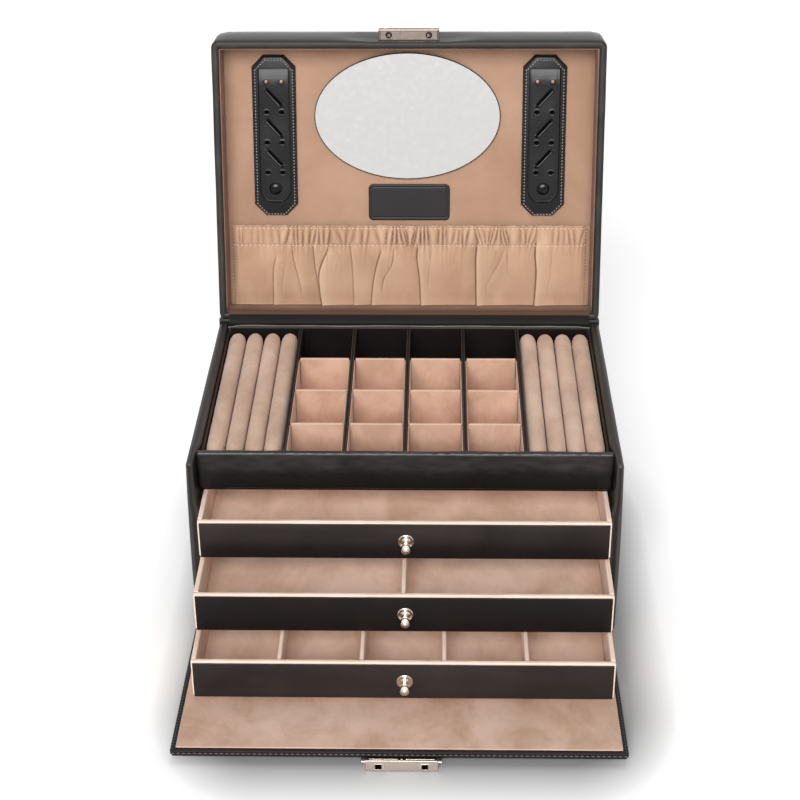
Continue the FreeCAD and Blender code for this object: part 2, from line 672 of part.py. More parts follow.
strip_width = 2 * (cell("roll_outer") - cell("strip_land"))
strip_stand = cell("strip_gap") + cell("strip_thick")
strip_low = Vector(0, cell("back_face") + cell("strip_gap"), cell("case_height") + strip_stand)
strip_rest = strip_low + Vector(0, cell("strip_land"), 0)
strip_high = lid_point(cell("lid_wall") + strip_stand, -strip_stand)
strip_end = lid_point(cell("lid_wall") + strip_stand, cell("strip_land"))
strip = ribbon([strip_end, strip_high, strip_rest, strip_low], cell("strip_thick"), strip_width)
keep(solid_feature("lid_hinge_strip", strip), "lid_hinge_strip")
wing_y = cell("hinge_y") + cell("strip_gap")
wing_low = Vector(0, wing_y, cell("case_height") - cell("hinge_wing"))
wing_middle = Vector(0, wing_y, lid_point(-cell("strip_gap"), cell("strip_gap")).z)
wing_end = lid_point(-cell("strip_gap"), cell("hinge_wing"))
wing_width = cell("case_width") - 2 * cell("lid_corner")
wing = ribbon([wing_end, wing_middle, wing_low], cell("strip_thick"), wing_width)
keep(solid_feature("lid_hinge_leather", wing), "lid_hinge_leather")

# Flap: a leather board with a velour lining, lying open and propped at its front by its lock.
blank = block("flap_blank", ("-case_width / 2", "-flap_length", "-flap_thick / 2"),
              ("case_width", "flap_length - flap_gap", "flap_thick - flap_lining_thick"), FLAP_FRAME)
keep(rounded(blank, "flap", "flap_corner", ("left_front", "right_front")), "flap_board")
keep(block("flap_lining", ("-case_width / 2 + flap_border", "-flap_length + flap_border",
                           "flap_thick / 2 - flap_lining_thick"),
           ("case_width - 2 * flap_border", "flap_length - flap_border - flap_margin", "flap_lining_thick"),
           FLAP_FRAME), "flap_lining")
pivot = Vector(0, cell("flap_pivot_y"), cell("flap_pivot_z"))
strip_on_flap = cell("flap_thick") / 2 - cell("flap_lining_thick") + cell("strip_gap")
flap_reach = cell("flap_margin") - cell("strip_gap")
flap_land = pivot + Vector(0, -flap_reach, flap_reach * cell("flap_lift_share") + strip_on_flap)
flap_root = pivot + Vector(0, 0, strip_on_flap)
base_root = Vector(0, -cell("case_depth") / 2, cell("base_thick") + cell("strip_gap"))
base_land = base_root + Vector(0, cell("deck_setback") - cell("strip_gap"), 0)
flap_path = [flap_land, flap_root, base_root, base_land]
flap_leather = ribbon(flap_path, cell("strip_thick"), 2 * cell("inner_half"))
keep(solid_feature("flap_hinge_leather", flap_leather), "flap_hinge_leather")

# Lock case on the flap's outer face, standing out past its edge: a box, an end plate and a bolt inside.
LOCK_HOLLOW = "lock_drop - 2 * lock_wall"
lock_box = block("lock_box", ("-lock_width / 2", "-lock_outer", "lock_low"),
                 ("lock_width", "lock_length", "lock_drop"), FLAP_FRAME)
end_plate = block("end_plate", ("-lock_width / 2", "-lock_outer - lock_plate_thick", "lock_low"),
                  ("lock_width", "lock_plate_thick", "lock_drop + lock_plate_lip"), FLAP_FRAME)
plate_rod = rod("plate_rod", "lock_rod_radius", "lock_width + 2 * lock_rod_over",
                ("-lock_width / 2 - lock_rod_over", "-lock_outer + lock_rod_radius", "lock_top"), "x", FLAP_FRAME)
bolt_room = block("bolt_room", ("-lock_width / 2 + lock_wall", "-lock_outer + lock_wall", "lock_low + lock_wall"),
                  ("lock_width - 2 * lock_wall", "lock_length - 2 * lock_wall", LOCK_HOLLOW), FLAP_FRAME)
hook_holes = [block(f"{side}_hook_hole",
                    (f"{centre} - lock_hole / 2", "-lock_outer - lock_plate_thick - overrun",
                     "lock_low + lock_wall"),
                    ("lock_hole", "lock_plate_thick + lock_wall + 2 * overrun", LOCK_HOLLOW), FLAP_FRAME)
              for side, centre in hook_places]
BOLT_Y = "(0 - lock_outer + lock_length / 2)"
tab_slot = block("tab_slot",
                 ("-tab_length / 2 - bolt_gap", f"{BOLT_Y} - bolt_width / 2 - bolt_gap",
                  "lock_low - overrun"),
                 ("tab_length + bolt_stroke + 2 * bolt_gap", "bolt_width + 2 * bolt_gap",
                  "lock_wall + 2 * overrun"), FLAP_FRAME)
lock_shell = fused("lock_shell", [lock_box, end_plate, plate_rod])
keep(cut("lock", lock_shell, together("lock_hollows", [bolt_room, tab_slot] + hook_holes)), "lock_case")
bolt_bar = block("bolt_bar",
                 ("-hook_spread / 2", f"{BOLT_Y} - bolt_width / 2", "lock_low + lock_wall + bolt_gap"),
                 ("hook_spread", "bolt_width", f"{LOCK_HOLLOW} - 2 * bolt_gap"), FLAP_FRAME)
bolt_tab = block("bolt_tab", ("-tab_length / 2", f"{BOLT_Y} - bolt_width / 2", "lock_low + bolt_gap"),
                 ("tab_length", "bolt_width", "lock_wall + bolt_gap"), FLAP_FRAME)
keep(fused("bolt", [bolt_bar, bolt_tab]), "lock_bolt")

# Every object must have come out sound before any file is written.
doc.recompute()
for item in doc.Objects:
    if "Invalid" in item.State or "Error" in item.State:
        raise RuntimeError(f"{item.Name} ({item.Label}) failed: {item.State}")
for label, piece in nodes.items():
    if piece.Shape.isNull() or not piece.Shape.isValid() or not piece.Shape.Solids:
        raise RuntimeError(f"{label} is not a sound solid")
os.makedirs("parts", exist_ok=True)
for label, piece in nodes.items():
    piece.Shape.exportStep(f"parts/{label}.step")
print(len(nodes), "sub-parts written")
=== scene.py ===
import bisect
import json
import math
import random
import bmesh
import bpy
from mathutils import Matrix, Vector, noise
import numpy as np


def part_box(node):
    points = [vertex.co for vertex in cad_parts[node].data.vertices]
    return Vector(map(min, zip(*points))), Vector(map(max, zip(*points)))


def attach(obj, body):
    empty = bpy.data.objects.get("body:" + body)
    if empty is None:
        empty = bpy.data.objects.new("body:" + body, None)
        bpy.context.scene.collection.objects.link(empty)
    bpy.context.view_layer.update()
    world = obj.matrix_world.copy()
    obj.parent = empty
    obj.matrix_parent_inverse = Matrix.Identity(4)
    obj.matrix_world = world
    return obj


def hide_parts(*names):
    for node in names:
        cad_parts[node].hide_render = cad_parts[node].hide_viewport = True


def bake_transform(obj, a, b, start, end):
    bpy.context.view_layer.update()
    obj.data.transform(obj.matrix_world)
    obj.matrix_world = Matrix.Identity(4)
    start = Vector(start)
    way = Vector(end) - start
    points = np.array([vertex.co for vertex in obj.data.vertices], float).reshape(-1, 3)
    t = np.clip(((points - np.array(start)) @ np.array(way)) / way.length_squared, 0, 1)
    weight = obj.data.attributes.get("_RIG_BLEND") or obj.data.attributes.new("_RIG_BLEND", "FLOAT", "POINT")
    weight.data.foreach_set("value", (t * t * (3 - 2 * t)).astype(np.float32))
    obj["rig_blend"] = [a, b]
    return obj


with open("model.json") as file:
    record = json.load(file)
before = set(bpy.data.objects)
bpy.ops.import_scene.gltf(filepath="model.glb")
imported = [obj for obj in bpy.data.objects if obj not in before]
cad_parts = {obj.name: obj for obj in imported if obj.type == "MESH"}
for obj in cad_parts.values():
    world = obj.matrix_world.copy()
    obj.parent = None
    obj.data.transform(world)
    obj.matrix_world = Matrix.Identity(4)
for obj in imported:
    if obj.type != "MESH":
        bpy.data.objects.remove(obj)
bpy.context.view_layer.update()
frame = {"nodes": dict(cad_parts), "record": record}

# Case boards: wooden sides, back and base, glued up as an open box.
# Each board is wrapped in thin black grained leather that softens its edges.
MM = 0.001
bodies = frame["record"]["behaviour"]["bodies"]
node_body = {node: body for body, members in bodies.items() for node in members}


def feed(tree, node, inputs):
    """A node's inputs: plain values, or links from another node's output."""
    for socket, item in inputs.items():
        if isinstance(item, bpy.types.NodeSocket):
            tree.links.new(item, node.inputs[socket])
        else:
            node.inputs[socket].default_value = item


def place_node(tree, kind, inputs=None, **traits):
    """One node of a tree, with its own traits and its inputs."""
    node = tree.nodes.new(kind)
    for trait, value in traits.items():
        setattr(node, trait, value)
    feed(tree, node, inputs or {})
    return node


def mixed(tree, share, *colours):
    """Two colours mixed by a share; a plain colour is its red, green and blue."""
    inputs = {6 + n: c if isinstance(c, bpy.types.NodeSocket) else (*c, 1) for n, c in enumerate(colours)}
    return place_node(tree, "ShaderNodeMix", {0: share, **inputs}, data_type="RGBA").outputs[2]


def worked(tree, operation, *items):
    """A sum on plain values and other nodes' outputs."""
    return place_node(tree, "ShaderNodeMath", dict(enumerate(items)), operation=operation).outputs[0]


def ranged(tree, value, goal, start=(0.0, 1.0), **traits):
    """A value carried from one range into another."""
    inputs = {"Value": value, "From Min": start[0], "From Max": start[1],
              "To Min": goal[0], "To Max": goal[1]}
    return place_node(tree, "ShaderNodeMapRange", inputs, **traits).outputs["Result"]


def cloudy(tree, where, scale, detail, **more):
    """Soft noise over a surface."""
    inputs = {"Vector": where, "Scale": scale, "Detail": detail, **more}
    return place_node(tree, "ShaderNodeTexNoise", inputs).outputs["Fac"]


def bumped(tree, height, strength, distance):
    """Small relief on a surface."""
    inputs = {"Strength": strength, "Distance": distance, "Height": height}
    return place_node(tree, "ShaderNodeBump", inputs).outputs["Normal"]


def new_group(name, sizes, results):
    """A shared shader group: where the surface is and its sizes go in, and its results come out."""
    tree = bpy.data.node_groups.new(name, "ShaderNodeTree")
    tree.interface.new_socket("Where", in_out="INPUT", socket_type="NodeSocketVector")
    for label, value in sizes.items():
        tree.interface.new_socket(label, in_out="INPUT", socket_type="NodeSocketFloat").default_value = value
    for label in results:
        tree.interface.new_socket(label, in_out="OUTPUT", socket_type="NodeSocketFloat")
    return tree, tree.nodes.new("NodeGroupInput").outputs, tree.nodes.new("NodeGroupOutput")


def new_finish(name):
    """A new material: itself, its node tree, its shader, and the place on the piece."""
    material = bpy.data.materials.new(name)
    material.use_nodes = True
    tree = material.node_tree
    where = place_node(tree, "ShaderNodeTexCoord").outputs["Object"]
    return material, tree, tree.nodes["Principled BSDF"], where


leather_grain, grain_in, grain_out = new_group(
    "leather_grain", {"Pebbles": 900.0, "Waves": 45.0}, ("Height", "Shade", "Gloss"))
pebbles = place_node(
    leather_grain, "ShaderNodeTexVoronoi",
    {"Vector": grain_in["Where"], "Scale": grain_in["Pebbles"], "Smoothness": 0.6}, feature="SMOOTH_F1")
pebble_height = worked(leather_grain, "MULTIPLY", pebbles.outputs["Distance"], 0.6)
fine_grain = cloudy(leather_grain, grain_in["Where"], 2600.0, 2.0)
feed(leather_grain, grain_out, {
    "Height": worked(leather_grain, "MULTIPLY_ADD", fine_grain, 0.3, pebble_height),
    "Shade": cloudy(leather_grain, grain_in["Where"], grain_in["Waves"], 4.0, Roughness=0.55),
    "Gloss": cloudy(leather_grain, grain_in["Where"], 17.0, 3.0, Distortion=0.6)})


def leather(name, dark, light, gloss, wear_and_sheen=(0.075, 0.066, 0.06), pebble=900.0, depth=0.00012, shine=0.24):
    """Black leather: pebbled grain, patches of darker and lighter dye, paler where an edge shows wear or
    where a painted sheen is laid on.
    """
    material, tree, shader, where = new_finish(name)
    grain = place_node(tree, "ShaderNodeGroup", {"Where": where, "Pebbles": pebble},
                       node_tree=leather_grain).outputs
    edge = place_node(tree, "ShaderNodeAttribute", attribute_name="wear_and_sheen").outputs["Fac"]
    rub_and_sheen = worked(tree, "MULTIPLY", edge, grain["Gloss"])
    feed(tree, shader, {
        "Base Color": mixed(tree, rub_and_sheen, mixed(tree, grain["Shade"], dark, light), wear_and_sheen),
        "Roughness": ranged(tree, grain["Gloss"], gloss),
        "Specular IOR Level": shine,
        "Normal": bumped(tree, grain["Height"], 0.5, depth)})
    return material


case_leather = leather("case_leather", (0.0075, 0.0066, 0.0064), (0.019, 0.0165, 0.0155), (0.34, 0.5))


def clamp(value):
    """A share kept between none and all."""
    return min(1.0, max(0.0, value))


def wobble(*place):
    """A smooth uneven value at a place."""
    return noise.noise(Vector(place))


def turns(count):
    """Even angles once round."""
    return [2 * math.pi * s / count for s in range(count)]


def spans(node, place=Matrix()):
    """The lowest and highest corner of each separate solid of a CAD node, in a leaning frame."""
    mesh = frame["nodes"][node].data
    level = place.inverted()
    points = [level @ vertex.co for vertex in mesh.vertices]
    number = {}
    owner = [number.setdefault(tuple(round(c * 20000) for c in point), len(number)) for point in points]
    root = list(range(len(number)))

    def find(item):
        while root[item] != item:
            root[item] = root[root[item]]
            item = root[item]
        return item

    for face in mesh.polygons:
        corners = [find(owner[i]) for i in face.vertices]
        for other in corners[1:]:
            root[find(other)] = find(corners[0])
    solids = {}
    for item, point in zip(owner, points):
        solids.setdefault(find(item), []).append(point)
    boxes = [(Vector(map(min, *solid)), Vector(map(max, *solid))) for solid in solids.values()]
    return sorted(boxes, key=lambda box: tuple(round(c, 5) for c in box[0]))


def stops(low, high, edge, step):
    """Where the grid lines of a soft-edged board cross one of its sides."""
    turns = [edge * (1 - math.tan(math.radians(angle))) for angle in (45, 30, 15, 0)]
    count = max(1, round((high - low - 2 * edge) / step))
    flat = [low + edge + (high - low - 2 * edge) * i / count for i in range(1, count)]
    return [low + t for t in turns] + flat + [high - t for t in reversed(turns)]


def soft_board(bm, low, high, edge, step=0.012, ripple=0.0):
    """A board of grid faces in a bmesh, its edges turned round and its wrap a little uneven."""
    edge = min([edge] + [0.49 * (high[i] - low[i]) for i in range(3)])
    lines = [stops(low[i], high[i], edge, step) for i in range(3)]
    wear_and_sheen = bm.verts.layers.float.get("wear_and_sheen") or bm.verts.layers.float.new("wear_and_sheen")
    made = {}

    def corner(place):
        key = tuple(round(c * 1e7) for c in place)
        if key not in made:
            core = Vector(min(max(place[i], low[i] + edge), high[i] - edge) for i in range(3))
            out = Vector(place) - core
            on_edge = sum(abs(c) > 0.05 * edge for c in out) > 1
            out.normalize()
            swell = ripple * noise.noise(Vector(place) * 38) if ripple else 0
            made[key] = bm.verts.new(core + out * (edge + swell - ripple))
            # Turned edges are marked for the paler colour: wear on leather, a painted sheen on cloth.
            made[key][wear_and_sheen] = 1.0 if on_edge else 0.0
        return made[key]

    for axis in range(3):
        first, second = (axis + 1) % 3, (axis + 2) % 3
        for level, flip in ((low[axis], True), (high[axis], False)):
            for a0, a1 in zip(lines[first], lines[first][1:]):
                for b0, b1 in zip(lines[second], lines[second][1:]):
                    quad = []
                    for a, b in ((a0, b0), (a1, b0), (a1, b1), (a0, b1)):
                        place = [0, 0, 0]
                        place[axis], place[first], place[second] = level, a, b
                        quad.append(corner(place))
                    bm.faces.new(quad[::-1] if flip else quad)


def fit(name, bm, finish, body=None, stands_for=(), place=Matrix(), sharp=38):
    """A finished piece from a bmesh: set in its frame, shaded, given its finish, and ridden on its body."""
    bmesh.ops.transform(bm, matrix=place, verts=bm.verts)
    mesh = bpy.data.meshes.new(name)
    bm.to_mesh(mesh)
    bm.free()
    mesh.shade_smooth()
    mesh.set_sharp_from_angle(angle=math.radians(sharp))
    mesh.materials.append(finish)
    piece = bpy.data.objects.new(name, mesh)
    bpy.context.collection.objects.link(piece)
    if body:
        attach(piece, body)
    if stands_for:
        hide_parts(*stands_for)
    return piece


def skin(bm, rings, ends=(True, True), loop=False):
    """Faces between rings of points that all have the same count, with flat ends or joined round."""
    rows = [[bm.verts.new(point) for point in ring] for ring in rings]
    pairs = list(zip(rows, rows[1:])) + ([(rows[-1], rows[0])] if loop else [])
    for lower, upper in pairs:
        for i in range(len(lower)):
            j = (i + 1) % len(lower)
            bm.faces.new((lower[i], lower[j], upper[j], upper[i]))
    if ends[0] and not loop:
        bm.faces.new(rows[0][::-1])
    if ends[1] and not loop:
        bm.faces.new(rows[-1])
    bmesh.ops.recalc_face_normals(bm, faces=bm.faces)


def turned(bm, seat, profile, count, lying=False):
    """A turned shape from its profile of radius and rise in mm, standing on Z or lying toward -Y."""
    rings = []
    for radius, rise in profile:
        flat = [(radius * MM * math.cos(a), radius * MM * math.sin(a)) for a in turns(count)]
        rings.append([seat + Vector((x, -rise * MM, y) if lying else (x, y, rise * MM)) for x, y in flat])
    skin(bm, rings)


def tube(bm, places, count):
    """A thin roll along X through places, each a middle and a radius."""
    skin(bm, [[middle + radius * Vector((0, math.cos(a), math.sin(a))) for a in turns(count)]
              for middle, radius in places])


def second_finish(piece, finish, chosen):
    """Another finish on the faces of a piece that pass a test."""
    piece.data.materials.append(finish)
    for face in piece.data.polygons:
        face.material_index = int(chosen(face))


def boards(name, node, finish, edge, place=Matrix(), step=0.012, ripple=0.0):
    """Soft-edged boards in place of each solid of a CAD node."""
    bm = bmesh.new()
    for low, high in spans(node, place):
        soft_board(bm, low, high, edge, step, ripple)
    return fit(name, bm, finish, node_body[node], (node,), place)


APRON_FOOT = 100 * MM
APRON_FRONT = -78 * MM
APRON_WIDER = 2.5 * MM
for board, way in (("left_side_panel", -1), ("right_side_panel", 1)):
    (low, high), = spans(board)
    side_mesh = bmesh.new()
    soft_board(side_mesh, low, high, 2.3 * MM, 0.009, 0.1 * MM)
    for vert in side_mesh.verts:
        outer = (vert.co.x - low.x if way > 0 else high.x - vert.co.x) / (high.x - low.x)
        front = (high.y - vert.co.y) / (high.y - low.y)
        foot = 1 - (vert.co.z - low.z) / (high.z - low.z)
        beside_apron = clamp((vert.co.z - APRON_FOOT) / 0.003) * clamp((APRON_FRONT - vert.co.y) / 0.004)
        belly = 0.5 + 0.9 * front + 1.3 * front * math.sin(math.pi * min(1, foot * 0.8))
        vert.co.x += way * ((1 - outer) * beside_apron * APRON_WIDER + outer * belly * MM)
    fit(f"{board}_wrap", side_mesh, case_leather, "case", (board,))
boards("back_panel_wrap", "back_panel", case_leather, 2.1 * MM, step=0.009, ripple=0.16 * MM)
boards("base_board_wrap", "base_board", case_leather, 1.2 * MM, step=0.02)

# Front rail: the leather apron over the drawers, which is also the tray's front wall.
# Its wrap is drawn over the top edge by hand and dips a little along the fold.
apron_leather = leather("apron_leather", (0.004, 0.0036, 0.0035), (0.008, 0.007, 0.0066), (0.2, 0.42),
                        wear_and_sheen=(0.062, 0.054, 0.051), pebble=380.0, depth=0.0005)
apron_mesh = bmesh.new()
(low, high), = spans("front_rail")
low.x -= APRON_WIDER
high.x += APRON_WIDER
soft_board(apron_mesh, low, high, 2.2 * MM, 0.002, 0.45 * MM)
apron_sheen = apron_mesh.verts.layers.float["wear_and_sheen"]
# Painted sheen: the apron is paler above an uneven line, in wrinkled patches, and along a band at its top.
for vert in apron_mesh.verts:
    tall = (vert.co.z - low.z) / (high.z - low.z)
    edge_line = 0.45 + 0.06 * noise.noise(vert.co * 26) + 0.08 * noise.noise(vert.co * 140)
    wrinkled = wobble(vert.co.x * 90, 0, vert.co.z * 330)
    upper_sheen = clamp((tall - edge_line) / 0.16) * max(0.0, 0.42 + 0.5 * wrinkled)
    vert[apron_sheen] = max(upper_sheen, 0.35 * (tall > 0.93))
fit("front_rail_wrap", apron_mesh, apron_leather, "case", ("front_rail",))
# Pale grey leather for thin rolls along the apron's top edge, the hinge strip's turn and the strap lips: a
# painted highlight.
painted_highlight_leather = leather("painted_highlight_leather", (0.03, 0.028, 0.029), (0.3, 0.285, 0.29), (0.28, 0.4))
FOLD_STEPS = 300
fold_places = []
for number in range(FOLD_STEPS + 1):
    x = low.x + 2 * MM + (high.x - low.x - 4 * MM) * number / FOLD_STEPS
    stray = 0.3 * MM * wobble(x * 120, 3, 1)
    thick = max(0.05, 0.25 + 0.34 * wobble(x * 230, 8, 1)) * MM
    fold_places.append((Vector((x, low.y + 0.75 * MM, high.z - 0.75 * MM + stray)), thick))
apron_fold_highlight = bmesh.new()
tube(apron_fold_highlight, fold_places, 8)
fit("front_rail_fold_highlight", apron_fold_highlight, painted_highlight_leather, "case", sharp=80)

# Drawer deck, drawer shelves and tray floor: thin boards faced with beige velour.
# The cloth's nap lies in brushed patches that look lighter or darker.
velour_nap, nap_in, nap_out = new_group("velour_nap", {"Patches": 26.0}, ("Nap", "Pile"))
brushed = place_node(
    velour_nap, "ShaderNodeMapping",
    {"Vector": nap_in["Where"], "Scale": (1.0, 0.7, 0.85), "Rotation": (0.2, 0.1, 0.5)}).outputs["Vector"]
patches = cloudy(velour_nap, brushed, nap_in["Patches"], 4.0, Roughness=0.62, Distortion=0.35)
patch_tone = ranged(velour_nap, patches, (-0.1, 0.8), (0.36, 0.64))
strokes = cloudy(velour_nap, brushed, 420.0, 3.0, Roughness=0.7)
feed(velour_nap, nap_out, {
    "Nap": worked(velour_nap, "MULTIPLY_ADD", strokes, 0.36, patch_tone),
    "Pile": cloudy(velour_nap, nap_in["Where"], 2600.0, 1.0)})


def velour(name, dark, light, edge, patch=26.0, sheen=0.22):
    """Short-piled cloth: brushed nap patches between two tones, and paler where an edge catches the light."""
    material, tree, shader, where = new_finish(name)
    nap = place_node(tree, "ShaderNodeGroup", {"Where": where, "Patches": patch},
                     node_tree=velour_nap).outputs
    rim, shade_share = (place_node(tree, "ShaderNodeAttribute", attribute_name=layer).outputs["Fac"]
                 for layer in ("wear_and_sheen", "painted_shade"))
    cloth = mixed(tree, nap["Nap"], dark, light)
    # Rims marked for wear and sheen take the paler edge colour: a painted sheen.
    rim_sheen = mixed(tree, worked(tree, "MULTIPLY", rim, 0.8), cloth, edge)
    # Where painted shade is marked, the cloth darkens towards a shade colour: painted shade in pleats,
    # recesses and bands.
    painted_shading = [c * share for c, share in zip(dark, (0.5, 0.44, 0.4))]
    feed(tree, shader, {
        "Base Color": mixed(tree, shade_share, rim_sheen, painted_shading),
        "Normal": bumped(tree, nap["Pile"], 0.35, 0.0002),
        "Roughness": 0.95,
        "Specular IOR Level": 0.1,
        "Sheen Weight": sheen,
        "Sheen Roughness": 0.45,
        "Sheen Tint": (1.0, 0.86, 0.76, 1.0)})
    return material


box_velour = velour("box_velour", (0.7, 0.495, 0.37), (0.92, 0.7, 0.575), (0.84, 0.67, 0.58), 30.0)
tray_leather = leather("tray_leather", (0.0035, 0.003, 0.0028), (0.0095, 0.0078, 0.0072), (0.42, 0.58),
                       wear_and_sheen=(0.1, 0.068, 0.052), shine=0.09)
for board in ("drawer_deck", "drawer_shelves"):
    shelf = boards(f"{board}_cloth", board, tray_leather, 0.5 * MM, step=0.02)
    second_finish(shelf, box_velour, lambda face: face.normal.z > 0.9)
(low, high), = spans("tray_floor")
low.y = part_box("front_rail")[1].y - 1.5 * MM
tray_mesh = bmesh.new()
soft_board(tray_mesh, low, high, 0.5 * MM, 0.012, 0.08 * MM)
tray_floor = fit("tray_floor_cloth", tray_mesh, box_velour, "case", ("tray_floor",))
second_finish(tray_floor, tray_leather, lambda face: face.normal.y < -0.5)

# Tray collars and dividers: leather-covered strips standing on the tray floor.
# The collars line the case, and five long dividers run from front to back between them.
for board in ("tray_side_collars", "tray_back_collar", "tray_dividers"):
    boards(f"{board}_wrap", board, tray_leather, 1.0 * MM, step=0.01, ripple=0.1 * MM)

# Cross cards: velour-covered cards dropped in between the dividers, three to a column.
# Thin flaps of the same cloth line the dividers' sides in front of the last well.
card_velour = velour("card_velour", (0.48, 0.295, 0.205), (0.64, 0.42, 0.315), (0.67, 0.46, 0.355), 34.0)
FLAP_THICK = 0.5 * MM
FLAP_STAND = 0.15 * MM
card_mesh = bmesh.new()
cards = spans("cross_cards")
for low, high in cards:
    soft_board(card_mesh, low, high, 0.7 * MM, 0.008, 0.12 * MM)
row_fronts = sorted({round(low.y, 4) for low, high in cards})
card_thick = cards[0][1].y - cards[0][0].y
row_starts = [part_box("front_rail")[1].y + 0.4 * MM] + [y + card_thick for y in row_fronts[:-1]]
divider_faces = [(low.x, high.x) for low, high in spans("tray_dividers")]
tray_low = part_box("tray_floor")[1].z
flap_top = cards[0][1].z - 0.9 * MM
for left, right in zip(divider_faces, divider_faces[1:]):
    for start, stop in zip(row_starts, row_fronts):
        for face, way in ((left[1], 1), (right[0], -1)):
            near, far = sorted((face + way * FLAP_STAND, face + way * (FLAP_STAND + FLAP_THICK)))
            soft_board(card_mesh, Vector((near, start + 0.5 * MM, tray_low)),
                       Vector((far, stop - 0.5 * MM, flap_top)), 0.2 * MM, 0.012)
fit("cross_cards_cloth", card_mesh, card_velour, "case", ("cross_cards",))

# Ring beds and rolls: foam rolls sewn into velour, lying side by side on a foam bed.
# Rings are pushed down into the slit between two rolls.
roll_velour = velour("roll_velour", (0.47, 0.315, 0.23), (0.64, 0.46, 0.365), (0.68, 0.5, 0.4), 34.0)
boards("ring_beds_cloth", "ring_beds", roll_velour, 0.6 * MM, step=0.02)
ROLL_TURN = 28
ROLL_END = [(0.0, 0.12), (0.0, 0.42), (0.0015, 0.66), (0.004, 0.86), (0.0075, 0.97), (0.012, 1.0)]
roll_mesh = bmesh.new()
for number, (low, high) in enumerate(spans("ring_rolls")):
    radius = (high.x - low.x) / 2
    height = (high.z - low.z) / 2
    centre = (low + high) / 2
    length = high.y - low.y
    sections = ROLL_END + [(length * share / 100, 1.0) for share in range(13, 84, 7)]
    sections += [(length - along, share) for along, share in reversed(ROLL_END)]
    rings = []
    for along, share in sections:
        ring_points = []
        for step in range(ROLL_TURN):
            angle = 2 * math.pi * step / ROLL_TURN
            out = Vector((math.cos(angle) * radius, 0, math.sin(angle) * height))
            spot = Vector((centre.x, low.y + along, centre.z)) + out * share
            dent = 0.035 * noise.noise(spot * 45 + Vector((number, 0, 0)))
            ring_points.append(spot - out * share * (0.035 + dent))
        rings.append(ring_points)
    skin(roll_mesh, rings)
rolls = fit("ring_rolls_cloth", roll_mesh, roll_velour, "case", ("ring_rolls",), sharp=80)

# Drawers: three velour-covered boxes with an inset leather facing and a turned metal knob.
# The knob's stud goes through facing and front board; cell walls stand in the two lower drawers.
facing_leather = leather("facing_leather", (0.005, 0.004, 0.0038), (0.0125, 0.0098, 0.0092), (0.38, 0.52),
                         wear_and_sheen=(0.085, 0.066, 0.062), shine=0.13)
# Each facing gets a painted sheen, paler towards the top in brushed streaks, by an amount set per drawer.
FACING_SHEEN = {"top": (0.02, 0.62), "middle": (0.0, 0.08), "bottom": (0.42, 0.52)}


def metal(name, colour, rough, flecks=0.06):
    """Plated metal: fine polishing marks and a slightly uneven shine."""
    material, tree, shader, where = new_finish(name)
    drawn = place_node(tree, "ShaderNodeMapping",
                       {"Vector": where, "Scale": (90.0, 2600.0, 2600.0)}).outputs["Vector"]
    stains = cloudy(tree, where, 240.0, 3.0)
    feed(tree, shader, {
        "Metallic": 1.0,
        "Base Color": mixed(tree, stains, colour, [c * (1 - 4 * flecks) for c in colour]),
        "Roughness": ranged(tree, stains, (rough, rough + 0.16)),
        "Normal": bumped(tree, cloudy(tree, drawn, 1.0, 2.0), 0.12, 0.00003)})
    return material


nickel = metal("polished_nickel", (0.72, 0.63, 0.56), 0.07)
KNOB_PROFILE = [(5.2, 0.0), (5.4, 0.35), (5.35, 0.8), (5.0, 1.1), (4.5, 1.05), (3.7, 0.7), (2.7, 0.75),
                (2.0, 1.3),
                (1.6, 2.2), (1.5, 3.4), (1.55, 4.6), (1.9, 5.2), (2.4, 5.5), (2.45, 5.8), (2.1, 6.05)]
KNOB_BALL = (3.4, 9.2)
KNOB_PROFILE += [(KNOB_BALL[0] * math.sin(math.radians(a)),
                  KNOB_BALL[1] - KNOB_BALL[0] * math.cos(math.radians(a)))
                 for a in (42, 56, 70, 84, 98, 112, 126, 140, 154, 168, 175)]
KNOB_TURN = 32
for drawer in ("top", "middle", "bottom"):
    body = f"{drawer}_drawer"
    for board, edge in (("front", 1.1), ("sides", 1.1), ("back", 1.1), ("floor", 0.3)):
        boards(f"{body}_{board}_cloth", f"{body}_{board}", box_velour, edge * MM, step=0.009,
               ripple=0.0 if board == "floor" else 0.12 * MM)
    if drawer != "top":
        boards(f"{body}_dividers_cloth", f"{body}_dividers", box_velour, 1.2 * MM, step=0.009,
               ripple=0.12 * MM)
    facing = boards(f"{body}_facing_wrap", f"{body}_facing", facing_leather, 0.5 * MM,
                    step=0.004, ripple=0.06 * MM)
    low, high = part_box(f"{body}_facing")
    below, above = FACING_SHEEN[drawer]
    for vert, rub_and_sheen in zip(facing.data.vertices, facing.data.attributes["wear_and_sheen"].data):
        tall = (vert.co.z - low.z) / (high.z - low.z)
        brushed = 0.5 + 0.5 * wobble(vert.co.x * 14, 0, vert.co.z * 140)
        rub_and_sheen.value = (below + (above - below) * clamp(tall * 1.6 - 0.35)) * (0.55 + 0.6 * brushed)
    knob_low, knob_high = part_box(f"{body}_knob")
    seat = Vector(((knob_low.x + knob_high.x) / 2 + 1.2 * MM, low.y, (knob_low.z + knob_high.z) / 2))
    knob_mesh = bmesh.new()
    turned(knob_mesh, seat, KNOB_PROFILE, KNOB_TURN, lying=True)
    fit(f"{body}_turned_knob", knob_mesh, nickel, body, (f"{body}_knob",), sharp=50)

